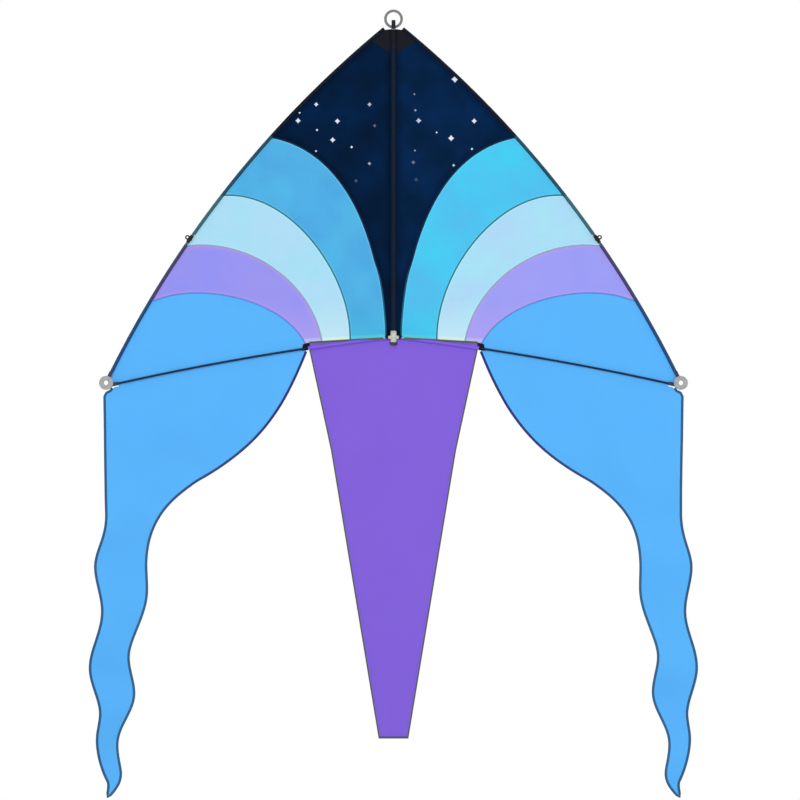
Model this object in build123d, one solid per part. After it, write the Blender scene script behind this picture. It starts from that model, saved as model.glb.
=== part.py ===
from build123d import *
from math import acos, atan2, cos, radians, sin, sqrt, tan
import os

# A framed delta kite with a centre tail and two wing streamers, hanging by its nose ring.
# Millimetres. +Z is up, towards the nose. +Y is windward, the side with the keel; the rods lie to leeward.
# The origin is the centre of the nose ring's hole.
# Each wing is drawn flat: u runs outwards from the spine axis, z up, and w to windward of the rods' plane.
# It is then turned about the spine axis by the dihedral, and mirrored for the left side.

# ---- Nose ring and spine
ring_bore_radius = 16.5
ring_wall = 6.5
ring_thickness = 5.0
spine_radius = 4.0
spine_tip_drop = 3.5            # from the ring's centre down to the top of the spine rod
cap_wall = 0.9
cap_length = 18.0
nose_socket_length = 26.0
nose_socket_wall = 1.4
nose_stem_half_width = 5.5
slip_clearance = 0.05           # a rod pushed into a socket
seat_gap = 0.3                  # between neighbouring pieces that don't touch
hub_drop = 775.0                # from the ring's centre down to the spreaders' sockets
knuckle_height = 11.7
knuckle_wall = 3.4
pivot_clearance = 0.08          # the socket knuckles turn on the spine rod
collar_height = 3.5
collar_radius = 7.0
end_cap_length = 7.0
end_cap_radius = 6.4
sleeve_wall = 1.1
root_radius = 12.0              # everything fixed to the spine stays inside this, about its axis

# ---- Wing frame, flat
dihedral = 6.0                  # degrees, tips to leeward
rod_radius = 2.5
edge_nose = (32.0, -30.0)       # upper end of the leading edge rod
half_span = 697.0               # from the spine out to the leading edge rod's lower end
tip_drop = 875.0                # and from the ring's centre down to it
edge_bow = 57.0                 # how far the rod bows out of the straight line
upper_rod_length = 690.0
hem_corner_u = 214.0            # where the tail, the streamer and the hem meet
spreader_start_u = 8.0
spreader_tip_back = (9.0, 16.0)     # from the leading rod's end, inwards and down
spreader_bow = 9.0
edge_sleeve_radius = 3.8
hem_sleeve_radius = 3.6
fabric_sleeve_wall = 0.9
ferrule_wall = 0.65
ferrule_half_length = 15.0
connector_half_length = 10.0
connector_wall = 1.2
connector_eye_out = 7.5
connector_eye_radius = 2.5
connector_lobe_radius = 5.5
connector_thickness = 5.0
window_half_length = 16.0       # opening in the sleeve for the connector
tip_eye_out = (5.0, 11.0)       # from the leading rod's end, outwards and down
tip_eye_radius = 5.5
tip_disc_radius = 17.0
tip_disc_thickness = 8.0
tip_socket_wall = 1.85
tip_socket_reach = 14.0         # how far the sockets stand out of the disc
hub_socket_wall = 1.65
hub_socket_end_u = 15.0

# ---- Cloth
cloth = 0.8
sail_front = 3.0                # w of the sail's leeward face
sail_start_u = 12.2
sail_edge_gap = 3.4             # from a rod's axis to the sail's edge
seam_gap = 0.25
trim_thickness = 0.5
trim_gap = 0.1
nose_patch_size = 32.0
streamer_hinge_drop = 6.5       # from the spreader's axis down to the fold line
fold_gap = 0.7                  # from a fold line up to the piece above it
fold_clearance = 0.2            # and down to the piece that swings
fold_trim_gap = 1.6             # from a fold line to the trim on the leeward face, on both sides of it
# Where each band ends: points of its curve from the leading edge to the hem
navy_end = ((293, -290), (83, -332), (24, -605), (21, -784))
azure_end = ((415, -430), (245, -419), (98, -631), (106, -786))
pale_end = ((500, -553), (353, -536), (196, -640), (174, -790))
lavender_end = ((582, -686), (477, -640), (266, -681), (hem_corner_u, -794))
# Streamer edges below the spreader, from the leading edge rod's lower end
streamer_inner_upper = ((-422, -80), (-366, -164), (-216, -247))
streamer_inner_lower = ((-134, -301), (-93, -353), (-91, -452))
streamer_inner_wave = ((-91, -530), (-60, -627), (-48, -675), (-61, -770), (-22, -875), (-26, -937))
streamer_outer_top = ((-7, -33), (2, -37), (6, -45))
streamer_outer_wave = ((2, -330), (28, -457), (12, -569), (41, -709), (17, -815), (24, -873))
streamer_outer_foot = (1, -973)
streamer_tip = (0, -1015)
streamer_shoulder = 9.0         # from the fold line's end out to the streamer's outer edge
binding_width = 5.0

# ---- Centre tail
header_half_width = 206.0
fold_half_width = 152.0
tail_foot_half_width = 36.5
header_length = 275.0           # from the hub's level down to the tail's fold line
tail_length = 700.0
header_drop = 4.8               # from the spreader's axis down to the header's top edge
header_side_margin = 50.0       # the header is cut from a wider, taller sheet
header_top_margin = 10.0
hub_notch_half_width = 9.5
tail_hem_width = 8.0
batten_radius = 1.25
batten_pocket_radius = 2.3
batten_pocket_wall = 0.85

# ---- Keel and its tow eyelets
keel_front_drop = 235.0
keel_rear_drop = 745.0
keel_depth = 172.0
keel_tow_drop = 330.0
keel_hinge_out = 6.2            # from the spine axis
keel_tape_width = 7.0
keel_tape_half_thickness = 0.95
eyelet_radius = 3.0
eyelet_wall = 1.0
eyelet_flange_radius = 6.0
eyelet_flange = 0.6
eyelet_inset = 14.0             # from the keel's free edges
eyelet_spacing = 40.0

# ---- Worked out from the sizes above
sail_back = sail_front + cloth
sail_middle = sail_front + cloth / 2
trim_front = sail_front - trim_gap - trim_thickness
cap_radius = spine_radius + cap_wall
spine_y = -(ring_thickness / 2 + seat_gap + cap_radius)
ring_radius = ring_bore_radius + ring_wall
knuckle_radius = spine_radius + pivot_clearance + knuckle_wall
knuckle_split = seat_gap / 2
knuckle_top = -hub_drop + knuckle_split + knuckle_height
knuckle_foot = -hub_drop - knuckle_split - knuckle_height
collar_foot = knuckle_top + seat_gap
sleeve_foot = collar_foot + collar_height + seat_gap
end_cap_top = knuckle_foot - seat_gap
spine_foot = end_cap_top - end_cap_length + 2 * cap_wall
nose_socket_top = -ring_radius - 1.0
nose_socket_foot = nose_socket_top - nose_socket_length
tail_fold_z = -hub_drop - header_length
tail_foot_z = tail_fold_z - tail_length
far = 3000.0                    # reaches past every edge of the kite


class Bow:
    """A rod's line in the wing's plane: an arc from start to end that bows by rise to its left."""

    def __init__(self, start, end, rise):
        first, last = Vector(*start), Vector(*end)
        chord = last - first
        left = Vector(-chord.Y, chord.X).normalized()
        self.radius = (chord.length ** 2 / 4 + rise ** 2) / (2 * rise)
        self.centre = first + chord * 0.5 - left * (self.radius - rise)
        self.first_angle = self.angle(first)
        self.last_angle = self.angle(last)
        self.length = self.radius * (self.first_angle - self.last_angle)

    def angle(self, place):
        return atan2(place.Y - self.centre.Y, place.X - self.centre.X)

    def point(self, travel, out=0.0):
        """The point after a travel along the rod, and out from its axis to the left."""
        turn = self.first_angle - travel / self.radius
        reach = self.radius + out
        return (self.centre.X + reach * cos(turn), self.centre.Y + reach * sin(turn))

    def travel_to_u(self, u):
        return self.radius * (self.first_angle - acos((u - self.centre.X) / self.radius))

    def edge(self, start, end, out=0.0):
        """The arc between two travels, as an edge in the drawing plane."""
        middle = self.point((start + end) / 2, out)
        return ThreePointArc(self.point(start, out), middle, self.point(end, out))

    def path(self, start, end):
        """The same arc, standing in the wing's plane w = 0."""
        return Plane.XZ * self.edge(start, end)


edge_tip = (half_span, -tip_drop)
leading = Bow(edge_nose, edge_tip, edge_bow)
spreader_tip = (edge_tip[0] - spreader_tip_back[0], edge_tip[1] - spreader_tip_back[1])
spreader = Bow((spreader_start_u, -hub_drop), spreader_tip, spreader_bow)
tip_eye = (edge_tip[0] + tip_eye_out[0], edge_tip[1] - tip_eye_out[1])
corner_travel = spreader.travel_to_u(hem_corner_u)
hinge_inner = (hem_corner_u, spreader.point(corner_travel)[1] - streamer_hinge_drop)
hinge_outer = (spreader_tip[0], spreader_tip[1] - streamer_hinge_drop)


# ---- Helpers
def plate(sketch, low, high):
    """A flat drawing made solid between two distances w from the rods' plane."""
    return extrude(Plane.XZ.offset(-low) * sketch, amount=low - high)


def rod(path, radius):
    """A round bar along a path."""
    return sweep(Plane(origin=path @ 0, z_dir=path % 0) * Circle(radius), path=path)


def tube(path, outer, inner):
    """A round tube along a path."""
    return rod(path, outer) - rod(path, inner)


def upright(radius, foot, top):
    """A round bar on the spine axis."""
    bar = Cylinder(radius, top - foot, align=(Align.CENTER, Align.CENTER, Align.MIN))
    return Pos(0, 0, foot) * bar


def polygon(*points):
    """A closed drawing with straight sides."""
    return make_face(Polyline(*points, close=True))


def beside_spine(shape):
    """Moves a piece drawn about the spine axis to that axis."""
    return Pos(0, spine_y, 0) * shape


def on_wing(shape, side):
    """Turns a flat wing piece to its dihedral on one side of the spine."""
    shape = beside_spine(Rot(0, 0, -dihedral) * shape)
    return shape if side == "right" else mirror(shape, about=Plane.YZ)


def save(name, shape):
    export_step(shape, f"parts/{name}.step")
    print(name, len(shape.solids()), "solid(s)")


# ---- Spine
def nose_fitting():
    """The eye ring, with a stem and a socket that takes the spine rod in front of it."""
    ring = Cylinder(ring_radius, ring_thickness) - Cylinder(ring_bore_radius, ring_thickness)
    ring = Rot(90, 0, 0) * ring
    stem_top = -ring_bore_radius - ring_wall / 2
    stem_front = spine_y + spine_radius
    stem_depth = ring_thickness / 2 - stem_front
    stem_height = stem_top - nose_socket_foot
    stem = Box(2 * nose_stem_half_width, stem_depth, stem_height)
    stem = Pos(0, stem_front + stem_depth / 2, nose_socket_foot + stem_height / 2) * stem
    cap_room = beside_spine(upright(cap_radius + seat_gap, nose_socket_top, 0))
    bore_radius = spine_radius + slip_clearance
    socket = upright(bore_radius + nose_socket_wall, nose_socket_foot, nose_socket_top)
    bore = beside_spine(upright(bore_radius, nose_socket_foot, 0))
    return ring + (stem - cap_room) + beside_spine(socket) - bore


def spine_rod():
    return beside_spine(upright(spine_radius, spine_foot, -spine_tip_drop))


def spine_tip_cap():
    """A soft cap pushed over the rod's upper end."""
    cap_top = -spine_tip_drop + cap_wall
    cap_foot = max(cap_top - cap_length, nose_socket_top + seat_gap)
    cap = upright(cap_radius, cap_foot, cap_top)
    cap = fillet(cap.faces().sort_by(Axis.Z)[-1].edges(), cap_wall * 0.8)
    return beside_spine(cap - upright(spine_radius + slip_clearance, cap_foot, -spine_tip_drop))


def spine_sleeve():
    """The cloth tube that holds the spine, with a flange to each wing's sail."""
    sleeve_top = nose_socket_foot - seat_gap
    inner = spine_radius + seat_gap
    outer = inner + sleeve_wall
    flange_reach = sqrt(root_radius ** 2 - sail_back ** 2)
    flange = plate(polygon((0, sleeve_foot), (flange_reach, sleeve_foot),
                           (flange_reach, sleeve_top), (0, sleeve_top)), sail_front, sail_back)
    flanges = [on_wing(flange, side) for side in ("left", "right")]
    body = beside_spine(upright(outer, sleeve_foot, sleeve_top)) + flanges
    return body - beside_spine(upright(inner, sleeve_foot, sleeve_top))


def stop_collar():
    """The ring glued on the spine above the socket knuckles."""
    collar = upright(collar_radius, collar_foot, collar_foot + collar_height)
    collar = fillet(collar.edges().filter_by(GeomType.CIRCLE), 0.8)
    return beside_spine(collar - upright(spine_radius + slip_clearance, collar_foot, 0))


def spine_end_cap():
    """The cap on the spine's foot, which also keeps the knuckles on."""
    foot = end_cap_top - end_cap_length
    cap = upright(end_cap_radius, foot, end_cap_top)
    cap = fillet(cap.faces().sort_by(Axis.Z)[0].edges(), 2.0)
    return beside_spine(cap - upright(spine_radius + slip_clearance, spine_foot, 0))


# ---- Wing frame, drawn flat
def leading_rod(start, end):
    return rod(leading.path(start, end), rod_radius)


def leading_ferrule():
    """The metal tube over the joint of the two leading edge rods."""
    inner = rod_radius + slip_clearance
    path = leading.path(upper_rod_length - ferrule_half_length, upper_rod_length + ferrule_half_length)
    return tube(path, inner + ferrule_wall, inner)


def edge_connector():
    """The clip moulded round the ferrule, with a small eye outside the edge."""
    start = upper_rod_length - connector_half_length
    end = upper_rod_length + connector_half_length
    inner = rod_radius + 2 * slip_clearance + ferrule_wall
    eye = Pos(*leading.point(upper_rod_length, connector_eye_out))
    foot = Pos(*leading.point(upper_rod_length, 0))
    half = connector_thickness / 2
    lobe = make_hull((eye * Circle(connector_lobe_radius) + foot * Circle(connector_lobe_radius)).edges())
    clip = rod(leading.path(start, end), inner + connector_wall) + plate(lobe, -half, half)
    clip -= rod(leading.path(start - 1, end + 1), inner)
    return clip - plate(eye * Circle(connector_eye_radius), -half, half)


def edge_sleeve(start, end):
    """The dark cloth sleeve round a leading edge rod."""
    return tube(leading.path(start, end), edge_sleeve_radius, edge_sleeve_radius - fabric_sleeve_wall)


def tip_disc_travel(bow, end):
    """How far along a rod the wing-tip disc begins."""
    gap = Vector(*end) - Vector(*tip_eye)
    return bow.length - (tip_disc_radius - gap.length)


def wingtip_fitting():
    """The moulded disc with an eye, which takes the ends of the leading edge rod and the spreader."""
    half = tip_disc_thickness / 2
    inner = rod_radius + slip_clearance
    body = plate(Pos(*tip_eye) * Circle(tip_disc_radius), -half, half)
    body = chamfer(body.edges().filter_by(GeomType.CIRCLE), 1.0)
    for bow, end in ((leading, edge_tip), (spreader, spreader_tip)):
        start = tip_disc_travel(bow, end) - tip_socket_reach
        body += rod(bow.path(start, bow.length), inner + tip_socket_wall)
    for bow in (leading, spreader):
        body -= rod(bow.path(bow.length - 2 * tip_disc_radius - tip_socket_reach, bow.length), inner)
    return body - plate(Pos(*tip_eye) * Circle(tip_eye_radius), -half, half)


def spreader_rod():
    return rod(spreader.path(0, spreader.length), rod_radius)


def spreader_socket(side):
    """A knuckle that turns on the spine rod, with a socket for one spreader. The left one sits on top."""
    low, high = -hub_drop + knuckle_split, knuckle_top
    other_low, other_high = knuckle_foot, -hub_drop - knuckle_split
    if side == "right":
        low, high, other_low, other_high = other_low, other_high, low, high
    inner = rod_radius + slip_clearance
    end = spreader.travel_to_u(hub_socket_end_u)
    outer_end = Vector(*spreader.point(end))
    start = Vector(*spreader.point(0))
    inwards = start - (outer_end - start).normalized() * spreader_start_u
    line = Plane.XZ * Line(inwards, outer_end)
    arm = rod(line, inner + hub_socket_wall)
    arm -= upright(knuckle_radius + seat_gap, other_low - far, other_high + seat_gap) if side == "left" \
        else upright(knuckle_radius + seat_gap, other_low - seat_gap, far)
    body = upright(knuckle_radius, low, high) + arm
    body -= upright(spine_radius + pivot_clearance, knuckle_foot - 1, knuckle_top + 1)
    return body - rod(spreader.path(0, end + 1), inner)


def hem_sleeve():
    """The cloth sleeve round the spreader's inner end, along the trailing edge."""
    start = spreader.travel_to_u(hub_socket_end_u) + 2
    end = corner_travel - 2
    return tube(spreader.path(start, end), hem_sleeve_radius, hem_sleeve_radius - fabric_sleeve_wall + 0.1)


# ---- Sail
def sail_outline():
    """The whole sail of one wing down to the streamer's fold line, inside its rods."""
    top = leading.point(0, -sail_edge_gap)
    hem_start = spreader.travel_to_u(sail_start_u)
    hem_left = spreader.point(hem_start, sail_edge_gap)
    hem_right = spreader.point(corner_travel, sail_edge_gap)
    fold_left = (hinge_inner[0], hinge_inner[1] + fold_gap)
    fold_right = (hinge_outer[0], hinge_outer[1] + fold_gap)
    outline = [
        Line((sail_start_u, top[1]), top),
        leading.edge(0, leading.length, -sail_edge_gap),
        Line(leading.point(leading.length, -sail_edge_gap), fold_right),
        Line(fold_right, fold_left),
        Line(fold_left, hem_right),
        spreader.edge(corner_travel, hem_start, sail_edge_gap),
        Line(hem_left, (sail_start_u, top[1])),
    ]
    # Room for the wing-tip disc, and for the spreader's socket and all below it
    socket_start = tip_disc_travel(spreader, spreader_tip) - tip_socket_reach - seat_gap
    notch_left = spreader.point(socket_start, sail_edge_gap)
    notch_right = spreader.point(spreader.length, sail_edge_gap)
    notch_foot = spreader.point(socket_start, -2 * sail_edge_gap)
    notch = polygon(notch_left, notch_right, (notch_right[0], -far), (notch_foot[0], -far), notch_foot)
    return make_face(outline) - Pos(*tip_eye) * Circle(tip_disc_radius + 2 * seat_gap) - notch


def inside_of(curve, step):
    """Everything on the spine's side of a band's end curve, moved by step across it."""
    points = [(u + step, z - step) for u, z in curve]
    first, last = points[0], points[-1]
    closing = Polyline(last, (last[0], -far), (-far, -far), (-far, far), (far, far), (far, first[1]), first)
    return make_face([Bezier(*points), closing])


def sail_panel(band):
    """One colour band of the sail: what lies between its end curve and the band before it."""
    ends = (navy_end, azure_end, pale_end, lavender_end)
    panel = sail_outline()
    if band < len(ends):
        panel = panel & inside_of(ends[band], 0)
    if band > 0:
        panel = panel - inside_of(ends[band - 1], seam_gap)
    return plate(panel, sail_front, sail_back)


def nose_patch():
    """The black patch over the sail's upper corner, on the leeward face."""
    top = leading.point(0, -sail_edge_gap)
    far_corner = leading.point(nose_patch_size, -sail_edge_gap)
    patch = make_face([
        Line((sail_start_u, top[1]), top),
        leading.edge(0, nose_patch_size, -sail_edge_gap),
        Line(far_corner, (sail_start_u, top[1] - 1.6 * nose_patch_size)),
        Line((sail_start_u, top[1] - 1.6 * nose_patch_size), (sail_start_u, top[1])),
    ])
    return plate(patch, trim_front, sail_front - trim_gap)


# ---- Streamers
def moved_left(points, amount):
    """Each point moved to the left of the way through its neighbours."""
    moved = []
    for place, before, after in zip(points, points[:1] + points[:-1], points[1:] + points[-1:]):
        way = (Vector(*after) - Vector(*before)).normalized()
        moved.append((place[0] - amount * way.Y, place[1] + amount * way.X))
    return moved


def from_edge_tip(points):
    """Places given from the leading edge rod's lower end, in the wing's drawing."""
    return [(edge_tip[0] + u, edge_tip[1] + z) for u, z in points]


def streamer_outline(inset=0.0, drop=fold_clearance):
    """The streamer, from its fold line to its tip: a broad top that narrows to a waving ribbon.

    An inset moves its two free edges inwards, and the drop sets how far below the fold line it starts."""
    slope = (hinge_outer[1] - hinge_inner[1]) / (hinge_outer[0] - hinge_inner[0])
    inner_edge = from_edge_tip([*streamer_inner_upper, *streamer_inner_lower, *streamer_inner_wave])
    outer_edge = from_edge_tip([*streamer_outer_top, *streamer_outer_wave, streamer_outer_foot])
    point, = from_edge_tip([streamer_tip])
    tip = (point[0] - inset / 2, point[1] + 4 * inset)
    inner_start = (hinge_inner[0] + 2, hinge_inner[1] - drop)
    outer_start = (outer_edge[0][0] - streamer_shoulder, inner_start[1])
    outer_start = (outer_start[0], inner_start[1] + slope * (outer_start[0] - inner_start[0]))
    inner = moved_left([inner_start, *inner_edge], inset)
    outer = moved_left([outer_start, *outer_edge], -inset)
    inner[0] = (inner_start[0] + inset, inner_start[1] + slope * inset)
    outer[0] = (outer_start[0] - inset, outer_start[1] - slope * inset)
    straight = len(streamer_outer_top)
    upper = len(streamer_inner_upper)
    neck = upper + len(streamer_inner_lower)
    return make_face([
        Line(inner[0], outer[0]),
        Polyline(*outer[:straight + 2]),
        Spline(*outer[straight + 1:], tip, tangents=[(0, -1), (0.2, -1)]),
        Bezier(*inner[:upper + 1]),
        Bezier(*inner[upper:neck + 1]),
        Spline(*inner[neck:], tip, tangents=[(0, -1), (1, -1)]),
    ])


def streamer():
    return plate(streamer_outline(), sail_front, sail_back)


def streamer_binding():
    """The dark tape sewn round the streamer's free edges, on the leeward face, clear of the fold."""
    tape = streamer_outline() - streamer_outline(binding_width)
    slope = (hinge_outer[1] - hinge_inner[1]) / (hinge_outer[0] - hinge_inner[0])
    fold_end = (hinge_inner[0] - far, hinge_inner[1] - fold_trim_gap - slope * far)
    other_end = (hinge_inner[0] + far, hinge_inner[1] - fold_trim_gap + slope * far)
    above = polygon(fold_end, other_end, (other_end[0], far), (fold_end[0], far))
    return plate(tape - above, trim_front, sail_front - trim_gap)


# ---- Centre tail
def header_plate(outline, low, high):
    """The tail's header: it follows both wings at the hem, and is flat at the tail's fold line."""
    sections = []
    for z, slope in ((-hub_drop + header_top_margin, tan(radians(dihedral))), (tail_fold_z + fold_gap, 0)):
        front, back = low / cos(radians(dihedral)), high / cos(radians(dihedral))
        if slope == 0:
            front, back = low, high
        side = header_half_width + header_side_margin
        points = [(-side, front - side * slope), (0, front), (side, front - side * slope),
                  (side, back - side * slope), (0, back), (-side, back - side * slope)]
        sections.append(Pos(0, 0, z) * polygon(*points))
    return beside_spine(loft(sections, ruled=True) & plate(outline, -far, far))


def header_half_outline():
    """The header's right half, below the spreader's hem."""
    start = spreader.travel_to_u(hub_notch_half_width)
    end = spreader.travel_to_u(header_half_width)
    notch_foot = end_cap_top - end_cap_length - 2 * seat_gap
    top = spreader.point(start, -header_drop)
    corner = spreader.point(end, -header_drop)
    fold = tail_fold_z + fold_gap
    sides = Polyline(corner, (fold_half_width, fold), (0, fold), (0, notch_foot), (top[0], notch_foot), top)
    return make_face([spreader.edge(start, end, -header_drop), sides])


def both_halves(sketch):
    return sketch + mirror(sketch, about=Plane.YZ)


def tail_header():
    return header_plate(both_halves(header_half_outline()), sail_front, sail_back)


def side_strip(top, foot, width):
    """A hem strip down the inside of a slanting side."""
    return polygon(top, foot, (foot[0] - width, foot[1]), (top[0] - width, top[1]))


def level_band(low, high):
    """Everything between two heights, in the drawing plane."""
    return polygon((-far, low), (far, low), (far, high), (-far, high))


def tail_header_hems():
    corner = (header_half_width, spreader.point(spreader.travel_to_u(header_half_width), -header_drop)[1])
    strip = side_strip(corner, (fold_half_width, tail_fold_z + fold_gap), tail_hem_width)
    strip = strip & header_half_outline() & level_band(tail_fold_z + fold_trim_gap, 0)
    return header_plate(both_halves(strip), trim_front, sail_front - trim_gap)


def tail_corners():
    top = (fold_half_width, tail_fold_z - fold_clearance)
    foot = (tail_foot_half_width, tail_foot_z + batten_pocket_radius + trim_gap)
    return top, foot


def centre_tail():
    top, foot = tail_corners()
    outline = polygon(top, foot, (-foot[0], foot[1]), (-top[0], top[1]))
    return beside_spine(plate(outline, sail_front, sail_back))


def centre_tail_hems():
    top, foot = tail_corners()
    strips = both_halves(side_strip(top, foot, tail_hem_width)) & level_band(-far, tail_fold_z - fold_trim_gap)
    return beside_spine(plate(strips, trim_front, sail_front - trim_gap))


def across(radius, half_length):
    """A round bar across the tail's foot."""
    bar = Rot(0, 90, 0) * Cylinder(radius, 2 * half_length)
    return beside_spine(Pos(0, sail_middle, tail_foot_z) * bar)


def tail_batten_pocket():
    inner = batten_pocket_radius - batten_pocket_wall
    return across(batten_pocket_radius, tail_foot_half_width) - across(inner, tail_foot_half_width)


def tail_batten():
    return across(batten_radius, tail_foot_half_width - 1)


# ---- Keel, drawn as (y, z) from the spine axis
def keel_corners():
    root = keel_hinge_out + trim_gap
    return (root, -keel_front_drop), (keel_depth, -keel_tow_drop), (root, -keel_rear_drop)


def across_keel(sketch, half_thickness):
    """A drawing in the keel's plane, made solid to both sides."""
    return beside_spine(extrude(Plane.YZ * sketch, amount=half_thickness, both=True))


def eyelet_places():
    """The two tow points, set in from the keel's free edges."""
    front, tow, rear = (Vector(*corner) for corner in keel_corners())
    to_front, to_rear = (front - tow).normalized(), (rear - tow).normalized()
    half_angle = radians(to_front.get_angle(to_rear)) / 2
    first = tow + (to_front + to_rear).normalized() * (eyelet_inset / sin(half_angle))
    second = first + to_rear * eyelet_spacing
    return [Pos(first.X, first.Y), Pos(second.X, second.Y)]


def keel_panel():
    holes = [place * Circle(eyelet_radius + eyelet_wall + slip_clearance) for place in eyelet_places()]
    return across_keel(polygon(*keel_corners()) - holes, cloth / 2)


def keel_edge_tape():
    """The tape folded over the keel's two free edges."""
    outline = polygon(*keel_corners())
    rim = keel_tape_half_thickness - cloth / 2
    band = offset(outline, amount=rim) - offset(outline, amount=-keel_tape_width, kind=Kind.INTERSECTION)
    root_side = Pos(keel_hinge_out - keel_depth / 2 + 2, -keel_front_drop) * Rectangle(keel_depth, far)
    room = offset(outline, amount=slip_clearance)
    tape = across_keel(band - root_side, keel_tape_half_thickness)
    return tape - across_keel(room, cloth / 2 + slip_clearance)


def tow_eyelets():
    """Two flanged metal eyelets, set through the keel."""
    bore = Circle(eyelet_radius)
    barrel = Circle(eyelet_radius + eyelet_wall) - bore
    flange = Circle(eyelet_flange_radius) - bore
    seat = cloth / 2 + slip_clearance
    eyelets = []
    for place in eyelet_places():
        body = across_keel(place * flange, seat + eyelet_flange) - across_keel(place * flange, seat)
        eyelets.append(body + across_keel(place * barrel, seat + eyelet_flange))
    return Compound(eyelets)


# ---- Build and save every piece
os.makedirs("parts", exist_ok=True)

for make in (nose_fitting, spine_rod, spine_tip_cap, spine_sleeve, stop_collar, spine_end_cap, tail_header,
             tail_header_hems, centre_tail, centre_tail_hems, tail_batten_pocket, tail_batten, keel_panel,
             keel_edge_tape, tow_eyelets):
    save(make.__name__, make())

tip_start = tip_disc_travel(leading, edge_tip) - tip_socket_reach
flat_pieces = {
    "leading_rod_upper": leading_rod(0, upper_rod_length - trim_gap),
    "leading_rod_lower": leading_rod(upper_rod_length + trim_gap, leading.length),
    "leading_ferrule": leading_ferrule(),
    "edge_connector": edge_connector(),
    "leading_sleeve_upper": edge_sleeve(0, upper_rod_length - window_half_length),
    "leading_sleeve_lower": edge_sleeve(upper_rod_length + window_half_length, tip_start - seat_gap),
    "wingtip_fitting": wingtip_fitting(),
    "spreader_rod": spreader_rod(),
    "hem_sleeve": hem_sleeve(),
    "nose_patch": nose_patch(),
    "streamer": streamer(),
    "streamer_binding": streamer_binding(),
}
for band, colour in enumerate(("navy", "azure", "pale", "lavender", "blue")):
    flat_pieces[f"panel_{colour}"] = sail_panel(band)

for side in ("left", "right"):
    for name, shape in flat_pieces.items():
        save(f"{side}_{name}", on_wing(shape, side))
    save(f"{side}_spreader_socket", on_wing(spreader_socket(side), side))

# ---- Joint and mount places, in the kite's frame
def on_right_wing(u, z, w):
    turn = radians(dihedral)
    return (u * cos(turn) + w * sin(turn), spine_y - u * sin(turn) + w * cos(turn), z)


print("spine axis y", spine_y, "keel hinge y", spine_y + keel_hinge_out)
print("tail fold", (spine_y + sail_middle, tail_fold_z))
print("streamer fold", on_right_wing(*hinge_inner, sail_middle), on_right_wing(*hinge_outer, sail_middle))
print("wing-tip eye", on_right_wing(*tip_eye, 0))
print("connector eye", on_right_wing(*leading.point(upper_rod_length, connector_eye_out), 0))
print("tow eyelets", [(spine_y + place.position.X, place.position.Y) for place in eyelet_places()])
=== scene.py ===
# %% [markdown]
# A delta kite, dressed in cloth.
# The rods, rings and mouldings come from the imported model. They are exact, so they stay as they are and
# only get better finishes. The sail, the streamers, the tail and the keel are plain slabs there. This
# lesson cuts each of them again as a sheet of ripstop, lays it in soft folds, and sews it together.

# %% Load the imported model
import math

import bpy
import numpy as np
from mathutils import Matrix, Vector, geometry


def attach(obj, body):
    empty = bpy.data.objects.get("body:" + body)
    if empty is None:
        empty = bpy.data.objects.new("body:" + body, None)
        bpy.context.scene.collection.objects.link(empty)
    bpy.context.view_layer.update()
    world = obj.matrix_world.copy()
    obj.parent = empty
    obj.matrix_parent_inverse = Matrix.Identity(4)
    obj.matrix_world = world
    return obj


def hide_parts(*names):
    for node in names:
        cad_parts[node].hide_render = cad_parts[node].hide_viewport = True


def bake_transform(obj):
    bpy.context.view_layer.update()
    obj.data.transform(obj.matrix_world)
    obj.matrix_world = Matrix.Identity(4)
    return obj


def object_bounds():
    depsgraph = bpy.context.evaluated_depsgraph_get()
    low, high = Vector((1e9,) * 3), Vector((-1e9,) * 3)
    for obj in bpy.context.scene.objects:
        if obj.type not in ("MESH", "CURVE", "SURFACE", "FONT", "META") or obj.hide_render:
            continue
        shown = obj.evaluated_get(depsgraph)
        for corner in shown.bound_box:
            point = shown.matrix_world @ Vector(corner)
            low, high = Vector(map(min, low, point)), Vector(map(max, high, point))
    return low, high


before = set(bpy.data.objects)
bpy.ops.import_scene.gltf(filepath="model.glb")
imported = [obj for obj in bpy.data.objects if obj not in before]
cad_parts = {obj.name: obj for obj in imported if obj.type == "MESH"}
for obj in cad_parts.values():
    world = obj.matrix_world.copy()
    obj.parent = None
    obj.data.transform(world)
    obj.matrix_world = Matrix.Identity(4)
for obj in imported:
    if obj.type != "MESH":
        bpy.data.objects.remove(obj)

MM = 0.001
cad_low, cad_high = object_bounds()
print("the packed kite measures", [round(high - low, 3) for low, high in zip(cad_low, cad_high)], "m")

# %% [markdown]
# The camera stands straight in front of the leeward face, far away with a long lens, so the kite looks
# almost as flat as its cutting plan. The picture is square, and its height takes in the whole kite.

# %% Camera
PICTURE_WIDTH = 1.948
PICTURE_CENTRE = Vector((0.0158, 0.0, -0.9277))
LENS, SENSOR = 600.0, 36.0

camera_data = bpy.data.cameras.new("camera")
camera_data.lens, camera_data.sensor_width = LENS, SENSOR
camera_data.clip_end = 60.0
camera = bpy.data.objects.new("camera", camera_data)
bpy.context.collection.objects.link(camera)
camera.location = PICTURE_CENTRE + Vector((0, -PICTURE_WIDTH * LENS / SENSOR, 0))
camera.rotation_euler = (math.pi / 2, 0, 0)
bpy.context.scene.camera = camera
print("the camera stands", round(-camera.location.y, 2), "m in front of the kite")

# %% [markdown]
# Three soft lamps and a pale world light the cloth evenly. A colour then renders about as it is written.
# The white background is what the camera, gloss and glass see of the world. The light that falls on the
# kite is another, dimmer part of the same world.

# %% Light and backdrop
WORLD_LIGHT = 0.62
FLOOR_DROP = 0.30


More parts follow.
